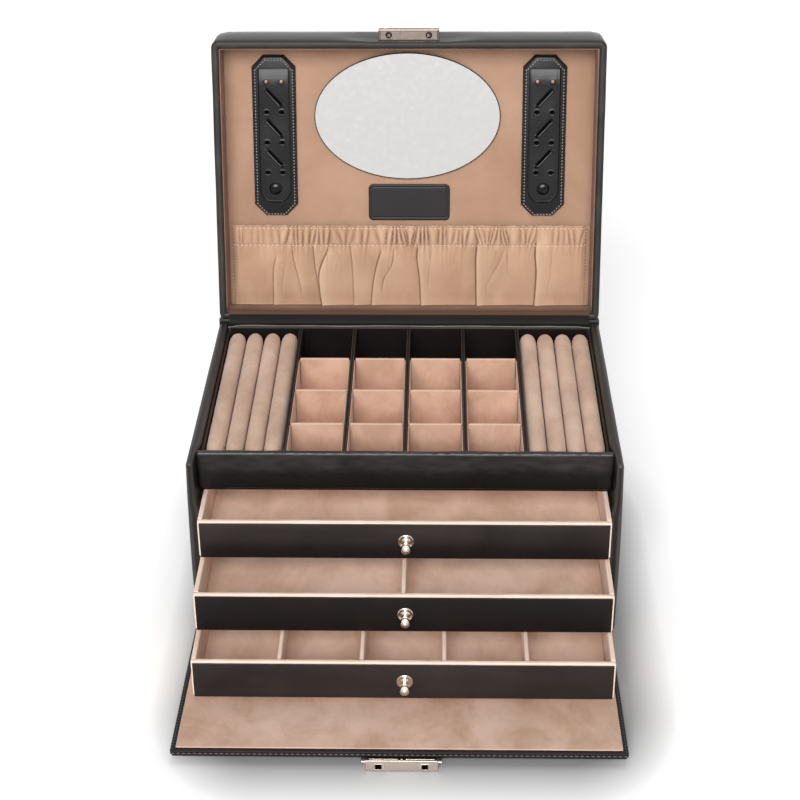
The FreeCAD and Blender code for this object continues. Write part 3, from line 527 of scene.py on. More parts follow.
# Lid walls: one frame of thin board wrapped in a single strip of leather, turned over the rim.
# Beige cloth lines the inside of the frame down to the lining panel.
LID = Matrix.Translation((0, 0.101, 0.1374)) @ Matrix.Rotation(math.radians(-103), 4, "X")
LID_DEPTH = 206 * MM
LID_WIDTH = 285 * MM
LID_CORNER = 4.4 * MM
LID_MIDDLE = Vector((0.0, -LID_DEPTH / 2, 0.0))
CORNERS = ((1, 1), (-1, 1), (-1, -1), (1, -1))
CORNER_STEPS = 8
RING_STEP = 0.006
RING_COUNTS = (round(LID_WIDTH / RING_STEP), round(LID_DEPTH / RING_STEP))


def ring(width, depth, corner, height, middle=LID_MIDDLE):
    """Points of a rectangle with round corners at one height, the same count for any size."""
    corner = min(max(corner, 0.05 * MM), 0.46 * width, 0.46 * depth)
    x, y = width / 2 - corner, depth / 2 - corner

    def at(number, share):
        across, along = CORNERS[number % 4]
        angle = math.pi / 2 * (number + share)
        return Vector((across * x + corner * math.cos(angle), along * y + corner * math.sin(angle), 0))

    points = []
    for number in range(4):
        points += [at(number, s / CORNER_STEPS) for s in range(CORNER_STEPS + 1)]
        start, goal = at(number, 1), at(number + 1, 0)
        count = RING_COUNTS[number % 2]
        points += [start.lerp(goal, s / count) for s in range(1, count)]
    return [p + Vector((middle[0], middle[1], height)) for p in points]


WALL = 5 * MM
WALL_HEIGHT = 49 * MM
RIM = 1.9 * MM
RIM_TURN = (0, 0.4, 0.8, 1.2, math.pi / 2)
KEEPER_REACH = 27 * MM
KEEPER_TALL = 9 * MM
wall_mesh = bmesh.new()
wall_wear_and_sheen = wall_mesh.verts.layers.float.new("wear_and_sheen")
section = [(0.0, WALL_HEIGHT * share) for share in (1.0, 0.86, 0.7, 0.55, 0.4, 0.28, 0.18, 0.1)]
section += [(RIM * (1 - math.cos(a)), RIM * (1 - math.sin(a))) for a in RIM_TURN]
section += [(WALL - RIM + RIM * math.sin(a), RIM * (1 - math.cos(a))) for a in RIM_TURN]
section += [(WALL, 8 * MM), (WALL, 26 * MM), (WALL, WALL_HEIGHT)]
wall_rings = []
for inset, height in section:
    wall_ring = ring(LID_WIDTH - 2 * inset, LID_DEPTH - 2 * inset, max(LID_CORNER - inset, 0.6 * MM), height)
    if inset < 0.5 * WALL and height < WALL_HEIGHT:
        for spot in wall_ring:
            side = spot - LID_MIDDLE
            if abs(side.x) * LID_DEPTH > abs(side.y) * LID_WIDTH:
                out = Vector((math.copysign(1, side.x), 0, 0))
            else:
                out = Vector((0, math.copysign(1, side.y), 0))
            pucker = 0.0
            if spot.y < -LID_DEPTH + 2 * MM:
                reach = max(0.0, 1 - abs(abs(spot.x) - 40 * MM) / (14 * MM))
                pucker = 0.8 * MM * reach * wobble(spot.x * 170, height * 60, 3)
            swell = 1.5 * MM
            if out.y < 0:
                swell += 3.5 * MM * clamp((LID_WIDTH / 2 - abs(spot.x)) / (9 * MM)) ** 0.5
                beside = clamp(2 - abs(spot.x) / KEEPER_REACH)
                swell *= 1 - beside * clamp(2 - height / KEEPER_TALL)
            bulge = swell * math.sin(math.pi * min(1, height / WALL_HEIGHT)) ** 0.7
            spot += out * (bulge + 0.2 * MM * noise.noise(spot * 34) + pucker * (height < 20 * MM))
    wall_rings.append(wall_ring)
skin(wall_mesh, wall_rings, loop=True)
# The front wall gets a painted sheen away from its rim; the rim of the other walls is paler in patches from
# wear.
for vert in wall_mesh.verts:
    patchy = 0.5 + 0.5 * noise.noise(vert.co * 90)
    if vert.co.y < -LID_DEPTH + WALL / 2:
        vert[wall_wear_and_sheen] = clamp((vert.co.z - 4 * MM) / (8 * MM)) * (0.7 + 0.3 * patchy)
    elif vert.co.z < RIM / 2:
        vert[wall_wear_and_sheen] = 0.8 * patchy
for face in wall_mesh.faces:
    spot = face.calc_center_median()
    face.material_index = int(spot.y < -LID_DEPTH + 0.3 * WALL and spot.z > RIM)
lid_walls = fit("lid_walls_wrap", wall_mesh, case_leather, "lid",
                ("lid_front_wall", "lid_back_wall", "lid_left_wall", "lid_right_wall"), LID, sharp=60)
polished_leather = leather("polished_leather", (0.0075, 0.0066, 0.0064), (0.019, 0.0165, 0.0155),
                           (0.17, 0.26), wear_and_sheen=(0.04, 0.0365, 0.0345), shine=0.3)
lid_walls.data.materials.append(polished_leather)
BAND_TOP = 1.9 * MM
BAND_LOW = 25.2 * MM
BAND = 0.9 * MM
lining_velour = velour("lining_velour", (0.35, 0.208, 0.138), (0.43, 0.268, 0.187), (0.5, 0.33, 0.24), 15.0,
                       0.1)
# The band inside the walls uses a darker copy of the lining cloth: painted shade.
shaded_band_velour = velour("shaded_band_velour", (0.2, 0.118, 0.083), (0.29, 0.175, 0.125), (0.33, 0.2, 0.145), 30.0, 0.06)
band_mesh = bmesh.new()
band_shade_layer = band_mesh.verts.layers.float.new("painted_shade")
band_rings = []
for inset, height in ((0.0, BAND_LOW), (0.0, BAND_TOP), (0.25, BAND_TOP - 0.25 * MM),
                      (0.7, BAND_TOP - 0.1 * MM),
                      (1.0, BAND_TOP + 0.4 * MM), (1.0, 16 * MM), (1.0, 20.5 * MM), (1.0, 23.5 * MM),
                      (1.0, BAND_LOW)):
    drawn_in = WALL + inset * BAND
    band_rings.append(ring(LID_WIDTH - 2 * drawn_in, LID_DEPTH - 2 * drawn_in, 0.7 * MM, height))
skin(band_mesh, band_rings, loop=True)
# On the rear wall the band takes further painted shade, except for a strip at mid height.
for vert in band_mesh.verts:
    if vert.co.y > -2 * WALL:
        vert[band_shade_layer] = 1.0 if vert.co.z < 15 * MM else 0.8 * (vert.co.z > 23 * MM)
fit("lid_wall_lining", band_mesh, shaded_band_velour, "lid", (), LID, sharp=60)

# Padded lid top: a foam pad under leather that is drawn down over the frame's edges.
# The pad crowns over the middle and the leather gathers a little at the corners.
PAD_RISE = 12 * MM
pad_profile = [(0.0, 0.0), (-0.02, 0.12), (-0.03, 0.26), (0.0, 0.4), (0.09, 0.54), (0.26, 0.67), (0.5, 0.78),
               (0.85, 0.86), (1.4, 0.92), (2.2, 0.96), (3.2, 0.985), (4.5, 1.0), (6.0, 1.0), (7.4, 1.0),
               (8.2, 1.0)]
pad_mesh = bmesh.new()
pad_rings = []
for inset_share, rise in pad_profile:
    drawn_in = 0.2 * MM + inset_share * PAD_RISE
    pad_ring = ring(LID_WIDTH - 2 * drawn_in, LID_DEPTH - 2 * drawn_in, LID_CORNER + max(0.0, drawn_in) / 2,
                    WALL_HEIGHT + rise * PAD_RISE)
    for spot in pad_ring:
        corner_share = abs(spot.x) / (LID_WIDTH / 2) * abs(spot.y - LID_MIDDLE.y) / (LID_DEPTH / 2)
        gather = max(0.0, corner_share - 0.72) * wobble(spot.x * 260, spot.y * 260, 1)
        spot.z -= 0.5 * MM * rise * (1 - noise.noise(spot * 22)) - 2.2 * MM * gather * rise
    pad_rings.append(pad_ring)
skin(pad_mesh, pad_rings)
lid_pad = fit("lid_top_pad", pad_mesh, case_leather, "lid", ("lid_top",), LID, sharp=70)

# Lid lining: a card panel covered in beige cloth, pressed into the frame behind its rim.
# Mirror, plate, strap patches and pocket are all fixed to it.
boards("lid_lining_panel", "lid_lining", lining_velour, 1.0 * MM, LID, 0.01, 0.12 * MM)

# Mirror: an oval of silvered glass with a narrow ground edge, coloured dark as a painted contact shadow round
# the oval.
# It is glued to the lining a touch left of the middle.
mirror_silver = metal("mirror_silver", (0.92, 0.905, 0.9), 0.012, 0.004)
edge_shadow_metal = metal("edge_shadow_metal", (0.1, 0.085, 0.075), 0.4)
MIRROR_TURN = 160
(mirror_low, mirror_high), = spans("mirror", LID)
mirror_middle = (mirror_low + mirror_high) / 2
mirror_half = (mirror_high - mirror_low) / 2
mirror_middle.x -= 1.3 * MM
mirror_mesh = bmesh.new()
mirror_rings = []
for inset, rise in ((0.0, 2 * mirror_half.z / MM), (0.0, 0.6), (0.15, 0.35), (0.55, 0.05), (0.7, 0.0),
                    (12.0, 0.0)):
    mirror_rings.append([Vector((mirror_middle.x + (mirror_half.x - inset * MM) * math.cos(a),
                                 mirror_middle.y + (mirror_half.y - inset * MM) * math.sin(a),
                                 mirror_low.z + rise * MM))
                         for a in turns(MIRROR_TURN)])
skin(mirror_mesh, mirror_rings)
for face in mirror_mesh.faces:
    face.material_index = int(face.calc_center_median().z > mirror_low.z + 0.01 * MM)
oval_mirror = fit("oval_mirror", mirror_mesh, mirror_silver, "lid", ("mirror",), LID,
                  sharp=12)
oval_mirror.data.materials.append(edge_shadow_metal)

# Plate: a bare strip of pressed leather with round corners, glued under the mirror.
# A pressed line follows its border and its face is left plain.
plate_leather = leather("plate_leather", (0.008, 0.0068, 0.007), (0.015, 0.0125, 0.0128), (0.36, 0.46),
                        pebble=1500.0, depth=0.00005)
(plate_low, plate_high), = spans("lid_plate", LID)
plate_middle = (plate_low + plate_high) / 2
plate_width, plate_height = plate_high.x - plate_low.x, plate_high.y - plate_low.y
plate_mesh = bmesh.new()
plate_rings = [ring(plate_width - 2 * inset * MM, plate_height - 2 * inset * MM, (3.5 - inset) * MM,
                    plate_low.z + sink * MM, plate_middle)
               for inset, sink in ((0.0, 1.4), (0.0, 0.5), (0.15, 0.2), (0.5, 0.0), (1.7, 0.0), (2.0, 0.12),
                                   (2.4, 0.12), (2.7, 0.0), (3.2, 0.0))]
skin(plate_mesh, plate_rings)
fit("bare_plate", plate_mesh, plate_leather, "lid", ("lid_plate",), LID, sharp=50)

# Strap patches: cut-cornered leather panels sewn to the lining, each with a cap over the strap's root.
# A row of pale waxed thread runs round each one.
strap_leather = leather("strap_leather", (0.0028, 0.0025, 0.0027), (0.0075, 0.0065, 0.007), (0.18, 0.34),
                        wear_and_sheen=(0.12, 0.11, 0.1), pebble=1300.0, depth=0.00007, shine=0.27)


def cut_corner_outline(low, high, cut, inset):
    """An upright rectangle with its corners cut off, drawn in by an inset."""
    trim = cut - inset * (2 - 2 ** 0.5)
    x0, x1, y0, y1 = low.x + inset, high.x - inset, low.y + inset, high.y - inset
    return [Vector((x, y, 0)) for x, y in ((x1, y0 + trim), (x1, y1 - trim), (x1 - trim, y1), (x0 + trim, y1),
                                           (x0, y1 - trim), (x0, y0 + trim), (x0 + trim, y0),
                                           (x1 - trim, y0))]


PATCH_CUT = 8.5 * MM
patch_mesh = bmesh.new()
patch_boxes = spans("strap_patches", LID)
for low, high in patch_boxes:
    rings = []
    for inset, sink in ((0.0, 2.0), (0.0, 0.7), (0.2, 0.3), (0.7, 0.0), (1.6, 0.12), (2.4, 0.0)):
        rings.append([p + Vector((0, 0, low.z + sink * MM))
                      for p in cut_corner_outline(low, high, PATCH_CUT, inset * MM)])
    skin(patch_mesh, rings)
    cap_low = Vector((low.x + 1.2 * MM, low.y + 0.4 * MM, low.z - 2.6 * MM))
    cap_high = Vector((high.x - 1.2 * MM, low.y + 9.7 * MM, low.z + 0.2 * MM))
    rings = []
    for inset, sink in ((0.0, 2.8), (0.1, 1.6), (0.5, 0.6), (1.2, 0.1), (2.2, 0.0)):
        trim = 8 * MM - inset * MM * (2 - 2 ** 0.5)
        x0, x1 = cap_low.x + inset * MM, cap_high.x - inset * MM
        y0, y1 = cap_low.y + inset * MM, cap_high.y - 0.25 * inset * MM
        rings.append([Vector((x, y, cap_low.z + sink * MM)) for x, y in
                      ((x0, y1), (x0, y0 + trim), (x0 + trim, y0), (x1 - trim, y0), (x1, y0 + trim),
                       (x1, y1))])
    skin(patch_mesh, rings)
fit("strap_patch_panels", patch_mesh, strap_leather, "lid", ("strap_patches",), LID,
    sharp=30)


def thread(name, colour):
    """Waxed sewing thread: two plies seen as a fine slanting stripe."""
    material, tree, shader, where = new_finish(name)
    plies = place_node(tree, "ShaderNodeTexWave", {"Vector": where, "Scale": 520.0, "Distortion": 1.5},
                       bands_direction="DIAGONAL").outputs["Fac"]
    stripe = mixed(tree, plies, [c * 0.72 for c in colour], colour)
    feed(tree, shader, {"Roughness": 0.6, "Base Color": stripe})
    return material


stitch_tree = bpy.data.node_groups.new("stitch_row", "GeometryNodeTree")
stitch_tree.interface.new_socket("Seam", in_out="INPUT", socket_type="NodeSocketGeometry")
stitch_socket = {}
for label, kind in (("Pitch", "NodeSocketFloat"), ("Size", "NodeSocketVector"),
                    ("Thread", "NodeSocketMaterial")):
    taken = stitch_tree.interface.new_socket(label, in_out="INPUT", socket_type=kind)
    stitch_socket[label] = taken.identifier
stitch_tree.interface.new_socket("Stitches", in_out="OUTPUT", socket_type="NodeSocketGeometry")
seam_in = stitch_tree.nodes.new("NodeGroupInput")
seam_out = stitch_tree.nodes.new("NodeGroupOutput")
seam_line = place_node(stitch_tree, "GeometryNodeMeshToCurve", {"Mesh": seam_in.outputs["Seam"]})
seam_points = place_node(stitch_tree, "GeometryNodeCurveToPoints",
    {"Curve": seam_line.outputs["Curve"], "Length": seam_in.outputs["Pitch"]}, mode="LENGTH")
lay_along = place_node(stitch_tree, "FunctionNodeAlignRotationToVector",
    {"Vector": seam_points.outputs["Tangent"]}, axis="X")
one_stitch = place_node(stitch_tree, "GeometryNodeMeshUVSphere", {"Segments": 6, "Rings": 5, "Radius": 0.5})
sewn = place_node(stitch_tree, "GeometryNodeInstanceOnPoints",
    {"Points": seam_points.outputs["Points"], "Instance": one_stitch.outputs["Mesh"],
                   "Rotation": lay_along.outputs["Rotation"], "Scale": seam_in.outputs["Size"]})
sewn_mesh = place_node(stitch_tree, "GeometryNodeRealizeInstances", {"Geometry": sewn.outputs["Instances"]})
threaded = place_node(stitch_tree, "GeometryNodeSetMaterial",
    {"Geometry": sewn_mesh.outputs["Geometry"], "Material": seam_in.outputs["Thread"]})
stitch_tree.links.new(threaded.outputs["Geometry"], seam_out.inputs["Stitches"])


def sew(name, seams, finish, pitch, length, thick, body, place=Matrix()):
    """Stitches laid along seam lines, as one plain mesh on a body."""
    line_mesh = bpy.data.meshes.new(f"{name}_line")
    points = []
    edges = []
    for seam in seams:
        edges += [(len(points) + i, len(points) + i + 1) for i in range(len(seam) - 1)]
        points += [place @ Vector(p) for p in seam]
    line_mesh.from_pydata(points, edges, [])
    line = bpy.data.objects.new(f"{name}_line", line_mesh)
    bpy.context.collection.objects.link(line)
    row = line.modifiers.new("row", "NODES")
    row.node_group = stitch_tree
    row[stitch_socket["Pitch"]] = pitch
    row[stitch_socket["Size"]] = (length, thick, thick)
    row[stitch_socket["Thread"]] = finish
    bpy.context.view_layer.update()
    made = bpy.data.meshes.new_from_object(line.evaluated_get(bpy.context.evaluated_depsgraph_get()))
    bpy.data.objects.remove(line)
    made.name = name
    made.shade_smooth()
    piece = bpy.data.objects.new(name, made)
    bpy.context.collection.objects.link(piece)
    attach(piece, body)
    return piece


pale_thread = thread("pale_thread", (0.42, 0.4, 0.39))
patch_seams = []
edge_seams = []
for low, high in patch_boxes:
    seam_low, seam_high = low + Vector((1.1 * MM, 0, 0)), high + Vector((-1.1 * MM, 0.3 * MM, 0))
    side_line = cut_corner_outline(seam_low, seam_high, PATCH_CUT, 1.2 * MM)
    lift = Vector((0, 0, low.z - 0.05 * MM))
    patch_seams.append([p + lift for p in side_line[5::-1]])
    cap_line = cut_corner_outline(low, high, PATCH_CUT, 3.6 * MM)
    cap_lift = Vector((0, 0, low.z - 2.62 * MM))
    patch_seams.append([p + cap_lift for p in (cap_line[0], cap_line[7], cap_line[6], cap_line[5])])
    edge_line = [p + lift for p in cut_corner_outline(low, high, PATCH_CUT, 0.9 * MM)]
    edge_seams += [edge_line[0:2], edge_line[4:6]]
sew("strap_patch_stitches", patch_seams, pale_thread, 2.3 * MM, 1.35 * MM, 0.75 * MM,
    "lid", LID)
sew("strap_patch_lacing", edge_seams, thread("black_lace", (0.004, 0.0036, 0.0038)), 2.3 * MM, 1.75 * MM,
    1.5 * MM, "lid", LID)

# Straps: glossy leather tongues hinged under the caps, pierced in pairs with slanting slits between.
# Each closes on a stud in its patch with a domed press cap.
SLIT_HALF = 0.75 * MM
TWINS = (-5.6 * MM, 5.6 * MM)
CAP_PROFILE = ((0.9, 1.0), (1.0, 0.9), (1.0, 0.74), (0.93, 0.66), (0.94, 0.6), (0.9, 0.42), (0.8, 0.26),
               (0.66, 0.13), (0.48, 0.05), (0.26, 0.01), (0.05, 0.0))
black_enamel = leather("black_enamel", (0.002, 0.002, 0.002), (0.004, 0.004, 0.004), (0.05, 0.1),
                       depth=0.00001, shine=0.26)
# Near-black leather set at the bottom of holes and slits: a painted shadow.
hole_shadow_leather = leather("hole_shadow_leather", (0.001, 0.0009, 0.0009), (0.002, 0.0018, 0.0018), (0.7, 0.8), shine=0.03)
copper = metal("copper_rivet", (0.36, 0.2, 0.135), 0.45)
boards("snap_studs_metal", "snap_studs", nickel, 0.5 * MM, LID)
for side, way in (("left", 1), ("right", -1)):
    (low, high), = spans(f"{side}_strap", LID)
    middle = (low.x + high.x) / 2
    half = (high.x - low.x) / 2
    length = high.y - low.y
    end_round = 10.6 * MM
    thick = high.z - low.z
    pairs = [9 + i * (88 - 9 - 11.8) / 3 for i in range(4)]
    rows = []
    along = 0.0
    while along < length - 0.05 * MM:
        rows.append(along)
        along += 0.5 * MM if along < length - 2 * MM else 0.2 * MM
    rows.append(length)
    columns = 52
    rings = []
    for along in rows:
        into_end = along - (length - end_round)
        width = half
        if into_end > 0:
            width += math.sqrt(max(end_round ** 2 - into_end ** 2, 0)) - end_round
        front = []
        for c in range(columns + 1):
            x = width * (2 * c / columns - 1)
            rim = min(width - abs(x), length - along)
            face = 0.0
            if rim < 1.1 * MM:
                face += 0.8 * MM * (1 - rim / (1.1 * MM)) ** 2
            groove = abs(rim - 2.1 * MM)
            if groove < 0.5 * MM:
                face += 0.12 * MM * (1 - groove / (0.5 * MM))
            for pair in pairs:
                for twin in TWINS:
                    gap = math.hypot(x - twin, along - pair * MM)
                    if gap < 2.2 * MM:
                        face += 1.45 * MM * clamp((1.75 * MM - gap) / (0.5 * MM))
                        face -= 0.22 * MM * max(0, 1 - abs(gap - 1.95 * MM) / (0.45 * MM))
            for pair in pairs[:3]:
                start = Vector((-5.2 * MM * way, (pair + 5.8) * MM))
                stop = Vector((5.2 * MM * way, (pair + 17) * MM))
                run = stop - start
                spot = Vector((x, along)) - start
                share = clamp(spot.dot(run) / run.length_squared)
                off = (spot - run * share).length
                if off < 2.2 * MM:
                    face += 1.5 * MM * clamp((SLIT_HALF + 0.35 * MM - off) / (0.4 * MM))
                    if spot.y > (run * share).y:
                        face -= 0.6 * MM * max(0, 1 - abs(off - 1.3 * MM) / (0.55 * MM))
            if along < 12 * MM:
                face += 1.1 * MM * (1 - along / (12 * MM)) ** 2
            face -= 0.32 * MM * wobble(x * 60, along * 42, 7 if way > 0 else 19)
            front.append(Vector((middle + x, low.y + along, low.z + min(face, thick - 0.2 * MM))))
        back = [Vector((middle + width * s, low.y + along, high.z)) for s in (0.97, 0.3, -0.3, -0.97)]
        rings.append(front + back)
    strap_mesh = bmesh.new()
    skin(strap_mesh, rings)
    fit(f"{side}_strap_tongue", strap_mesh, strap_leather, f"{side}_strap",
        (f"{side}_strap",), LID)
    rivet_mesh = bmesh.new()
    for twin in TWINS:
        turned(rivet_mesh, Vector((middle + twin, low.y + pairs[0] * MM, low.z)),
               ((1.5, 1.5), (1.45, 0.9), (1.1, 0.65), (0.5, 0.6), (0.1, 0.58)), 16)
    fit(f"{side}_strap_rivets", rivet_mesh, copper, f"{side}_strap", (), LID)
    # Holes and slits get painted shadow at their bottoms; pale arcs and rolls along one rim of each are
    # painted highlights.
    hole_shadow_mesh = bmesh.new()
    lip_glint_mesh = bmesh.new()
    for pair in pairs[1:]:
        for twin in TWINS:
            hole = Vector((middle + twin, low.y + pair * MM, low.z))
            turned(hole_shadow_mesh, hole, ((1.5, 1.5), (1.5, 0.75), (0.2, 0.7)), 16)
            lip = [(1.85 + 0.2 * math.cos(b), 0.2 * math.sin(b) - 0.2) for b in turns(8)]
            skin(lip_glint_mesh, [[hole + Vector((out * math.cos(a), out * math.sin(a), rise)) * MM
                             for out, rise in lip]
                            for a in (math.pi * (0.2 + 0.6 * s / 10) for s in range(11))])
    for pair in pairs[:3]:
        start = Vector((middle - 5.0 * MM * way, low.y + (pair + 6.0) * MM, low.z))
        stop = Vector((middle + 5.0 * MM * way, low.y + (pair + 16.8) * MM, low.z))
        run = (stop - start).normalized()
        across = Vector((-run.y, run.x, 0)) * way
        slit = ((-0.85, 0.5), (0.85, 0.5), (0.85, 1.4), (-0.85, 1.4))
        skin(hole_shadow_mesh, [[end + (across * wide + Vector((0, 0, depth))) * MM for wide, depth in slit]
                        for end in (start, stop)])
        lip = [(1.15 + 0.22 * math.cos(b), 0.22 * math.sin(b) - 0.5) for b in turns(8)]
        skin(lip_glint_mesh, [[start.lerp(stop, share) + (across * out + Vector((0, 0, rise))) * MM
                         for out, rise in lip]
                        for share in (0.0, 0.2, 0.4, 0.6, 0.8, 1.0)])
    fit(f"{side}_strap_hole_shadows", hole_shadow_mesh, hole_shadow_leather, f"{side}_strap", (), LID)
    fit(f"{side}_strap_lip_glints", lip_glint_mesh, painted_highlight_leather, f"{side}_strap", (), LID)
    (cap_low, cap_high), = spans(f"{side}_snap_cap", LID)
    cap_middle = (cap_low + cap_high) / 2
    cap_wide, cap_tall = (cap_high.x - cap_low.x) / 2 / MM, (cap_high.z - cap_low.z) / MM
    cap_mesh = bmesh.new()
    turned(cap_mesh, Vector((cap_middle.x, cap_middle.y, cap_low.z)),
           [(radius * cap_wide, height * cap_tall) for radius, height in CAP_PROFILE], 32)
    fit(f"{side}_snap_dome", cap_mesh, black_enamel, f"{side}_strap",
        (f"{side}_snap_cap",), LID)

# Pocket: a strip of lining cloth sewn to the panel at its foot and sides and gathered on elastic at its hem.
# The gathers fan out below the elastic into a few deep pleats that are tacked down at the foot.
(pocket_low, pocket_high), = spans("lid_pocket", LID)
POCKET_HALF = 136.2 * MM
POCKET_TALL = pocket_high.y - pocket_low.y
HEM_ROW = 0.962
ELASTIC_ROW = 0.755
draw = random.Random(23)
valleys = [-1.0]
full = []
for start, end, count, weight in ((-0.97, -0.7, 7, 0.6), (-0.69, -0.42, 9, 1.15), (-0.4, -0.17, 6, 0.8),
                                  (-0.13, 0.12, 11, 1.2), (0.14, 0.34, 7, 0.95), (0.36, 0.56, 9, 1.1),
                                  (0.59, 0.72, 4, 0.8), (0.78, 0.97, 6, 0.8)):
    for number in range(count):
        valleys.append(start + (end - start) * (number + draw.uniform(0.15, 0.85)) / count)
        full.append((weight * draw.uniform(0.6, 1.15), draw.uniform(0.03, 0.2)))
full.append((0.5, 0.05))
pleats = [(((0.6, -0.742), (0.45, -0.757), (0.0, -0.763)), 0.75, 0.05),
          (((0.74, -0.678), (0.45, -0.698), (0.22, -0.714)), 0.3, 0.08),
          (((0.78, -0.65), (0.57, -0.642), (0.37, -0.621), (0.2, -0.606)), 0.6, 0.11),
          (((0.75, -0.533), (0.52, -0.525), (0.27, -0.509), (0.0, -0.494)), 0.85, 0.03),
          (((0.7, -0.452), (0.52, -0.488), (0.4, -0.502), (0.2, -0.5), (0.0, -0.489)), 1.2, 0.12),
          (((0.76, -0.327), (0.43, -0.315), (0.0, -0.311)), 0.6, 0.03),
          (((0.68, -0.157), (0.5, -0.182), (0.27, -0.202), (0.0, -0.214)), 1.0, 0.05),
          (((0.72, -0.085), (0.52, -0.097), (0.34, -0.141), (0.2, -0.153)), 0.7, 0.06),
          (((0.75, 0.048), (0.6, 0.044), (0.35, 0.057), (0.0, 0.064)), 1.05, 0.06),
          (((0.72, 0.125), (0.43, 0.109), (0.25, 0.105)), 0.3, 0.05),
          (((0.8, 0.379), (0.65, 0.371), (0.43, 0.371), (0.0, 0.375)), 1.35, 0.06),
          (((0.7, 0.525), (0.55, 0.5), (0.38, 0.46), (0.25, 0.428)), 0.45, 0.1),
          (((0.77, 0.541), (0.5, 0.545)), 0.4, 0.04),
          (((0.8, 0.702), (0.65, 0.698), (0.43, 0.706), (0.0, 0.698)), 1.25, 0.07),
          (((0.72, 0.791), (0.43, 0.787), (0.25, 0.775)), 0.25, 0.06)]
CREASE = 0.0031


def pocket_shape(u, v):
    """The pocket at u across and v up: its stand off the lining, its painted shade and its painted highlight.
    """
    side = min(1.0, (1 - abs(u)) / 0.055)
    side = side * side * (3 - 2 * side)
    foot = min(1.0, v / 0.16)
    stand = 1.4 + 3.6 * math.sin(min(v, 0.72) / 0.72 * math.pi / 2) * foot
    if v > ELASTIC_ROW:
        stand -= 0.7 * math.sin((v - ELASTIC_ROW) / (1 - ELASTIC_ROW) * math.pi / 2)
    painted_shading = 0.0
    light = 0.0
    for path, weight, soft in pleats:
        head, tail = path[0][0], path[-1][0]
        fade = clamp((head + 0.05 - v) / 0.1)
        if tail > 0:
            fade *= clamp((v - tail + 0.14) / 0.2)
        if fade <= 0:
            continue
        at = path[0][1] if v > head else path[-1][1]
        for number, ((high_v, high_u), (low_v, low_u)) in enumerate(zip(path, path[1:])):
            if low_v <= v <= high_v:
                span = high_v - low_v
                share = (v - low_v) / span
                before, after = path[max(number - 1, 0)], path[min(number + 2, len(path) - 1)]
                high_lean = (before[1] - low_u) / (before[0] - low_v) * span
                low_lean = (high_u - after[1]) / (high_v - after[0]) * span
                at = low_u + (high_u - low_u) * share * share * (3 - 2 * share)
                at += share * (1 - share) * (low_lean * (1 - share) - high_lean * share)
        off = u - at
        line = math.exp(-((off + 0.3 * CREASE) / CREASE) ** 2)
        stand -= 1.0 * min(weight, 1.1) * fade * line * min(1.0, 0.35 + v)
        painted_shading = max(painted_shading, min(0.9, 0.8 * weight) * fade * line)
        if off > 0:
            stand += 2.4 * weight * fade * math.exp(-off / soft) * min(1, off / CREASE)
            rise = 1 - math.exp(-off / 0.004)
            light += weight * fade * rise * (0.62 * math.exp(-off / 0.014) + 0.42 * math.exp(-off / soft))
        else:
            painted_shading = max(painted_shading, 0.14 * min(1.0, weight) * fade * math.exp(off / 0.03))
    leaning = u + 0.35 * (v - 0.86) * wobble(u * 14, 3, 7)
    spot = min(len(full) - 1, max(0, bisect.bisect(valleys, leaning) - 1))
    left = valleys[spot]
    right = valleys[spot + 1] if spot + 1 < len(valleys) else 1.0
    share = clamp((leaning - left) / max(right - left, 0.004))
    weight, reach = full[spot]
    arch = (share * (1 - share) * 4) ** 0.7
    if v > ELASTIC_ROW:
        between = min(1.0, (v - ELASTIC_ROW) / (HEM_ROW - ELASTIC_ROW))
        hold = 0.5 + 0.5 * math.sin(math.pi * between)
    else:
        hold = 0.5 * math.exp(-(ELASTIC_ROW - v) / reach)
    stand += 2.8 * weight * arch * hold
    painted_shading = max(painted_shading, min(0.75, 0.7 * weight) * hold * max(0.0, 1 - 1.5 * arch) ** 1.3)
    light += 0.6 * weight * hold * arch * max(0.0, 1 - abs(share - 0.45) / 0.4)
    for row in (HEM_ROW, ELASTIC_ROW):
        stand -= 0.6 * math.exp(-((v - row) / 0.016) ** 2)
    stand += 0.7 * wobble(u * 9, v * 2.5, 5)
    light += 0.45 * max(0.0, wobble(u * 11, v * 2.2, 1)) + 0.7 * max(0.0, 1 - v / 0.02)
    return (0.5 + side * max(stand - 0.5, 0.25)) * MM, min(1.0, painted_shading) * side, min(1.0, light)


def pocket_point(u, v, lift=0.0):
    """A point of the pocket's cloth in the closed lid's own frame."""
    ruffle = 0.9 * MM * wobble(u * 34, 2, 9) if v > 0.97 else 0.0
    return Vector((POCKET_HALF * u, pocket_high.y - POCKET_TALL * v - ruffle,
                   pocket_high.z - pocket_shape(u, v)[0] - lift))


pocket_velour = velour("pocket_velour", (0.385, 0.232, 0.147), (0.465, 0.29, 0.194), (0.66, 0.46, 0.322),
                       22.0, 0.1)
POCKET_COLUMNS = 760
POCKET_ROWS = 66
pocket_mesh = bmesh.new()
crease_shade_layer = pocket_mesh.verts.layers.float.new("painted_shade")
highlight_layer = pocket_mesh.verts.layers.float.new("wear_and_sheen")
cloth_rows = [[pocket_mesh.verts.new(pocket_point(2 * c / POCKET_COLUMNS - 1, r / POCKET_ROWS))
               for c in range(POCKET_COLUMNS + 1)] for r in range(POCKET_ROWS + 1)]
for lower, upper in zip(cloth_rows, cloth_rows[1:]):
    for c in range(POCKET_COLUMNS):
        pocket_mesh.faces.new((lower[c], lower[c + 1], upper[c + 1], upper[c]))
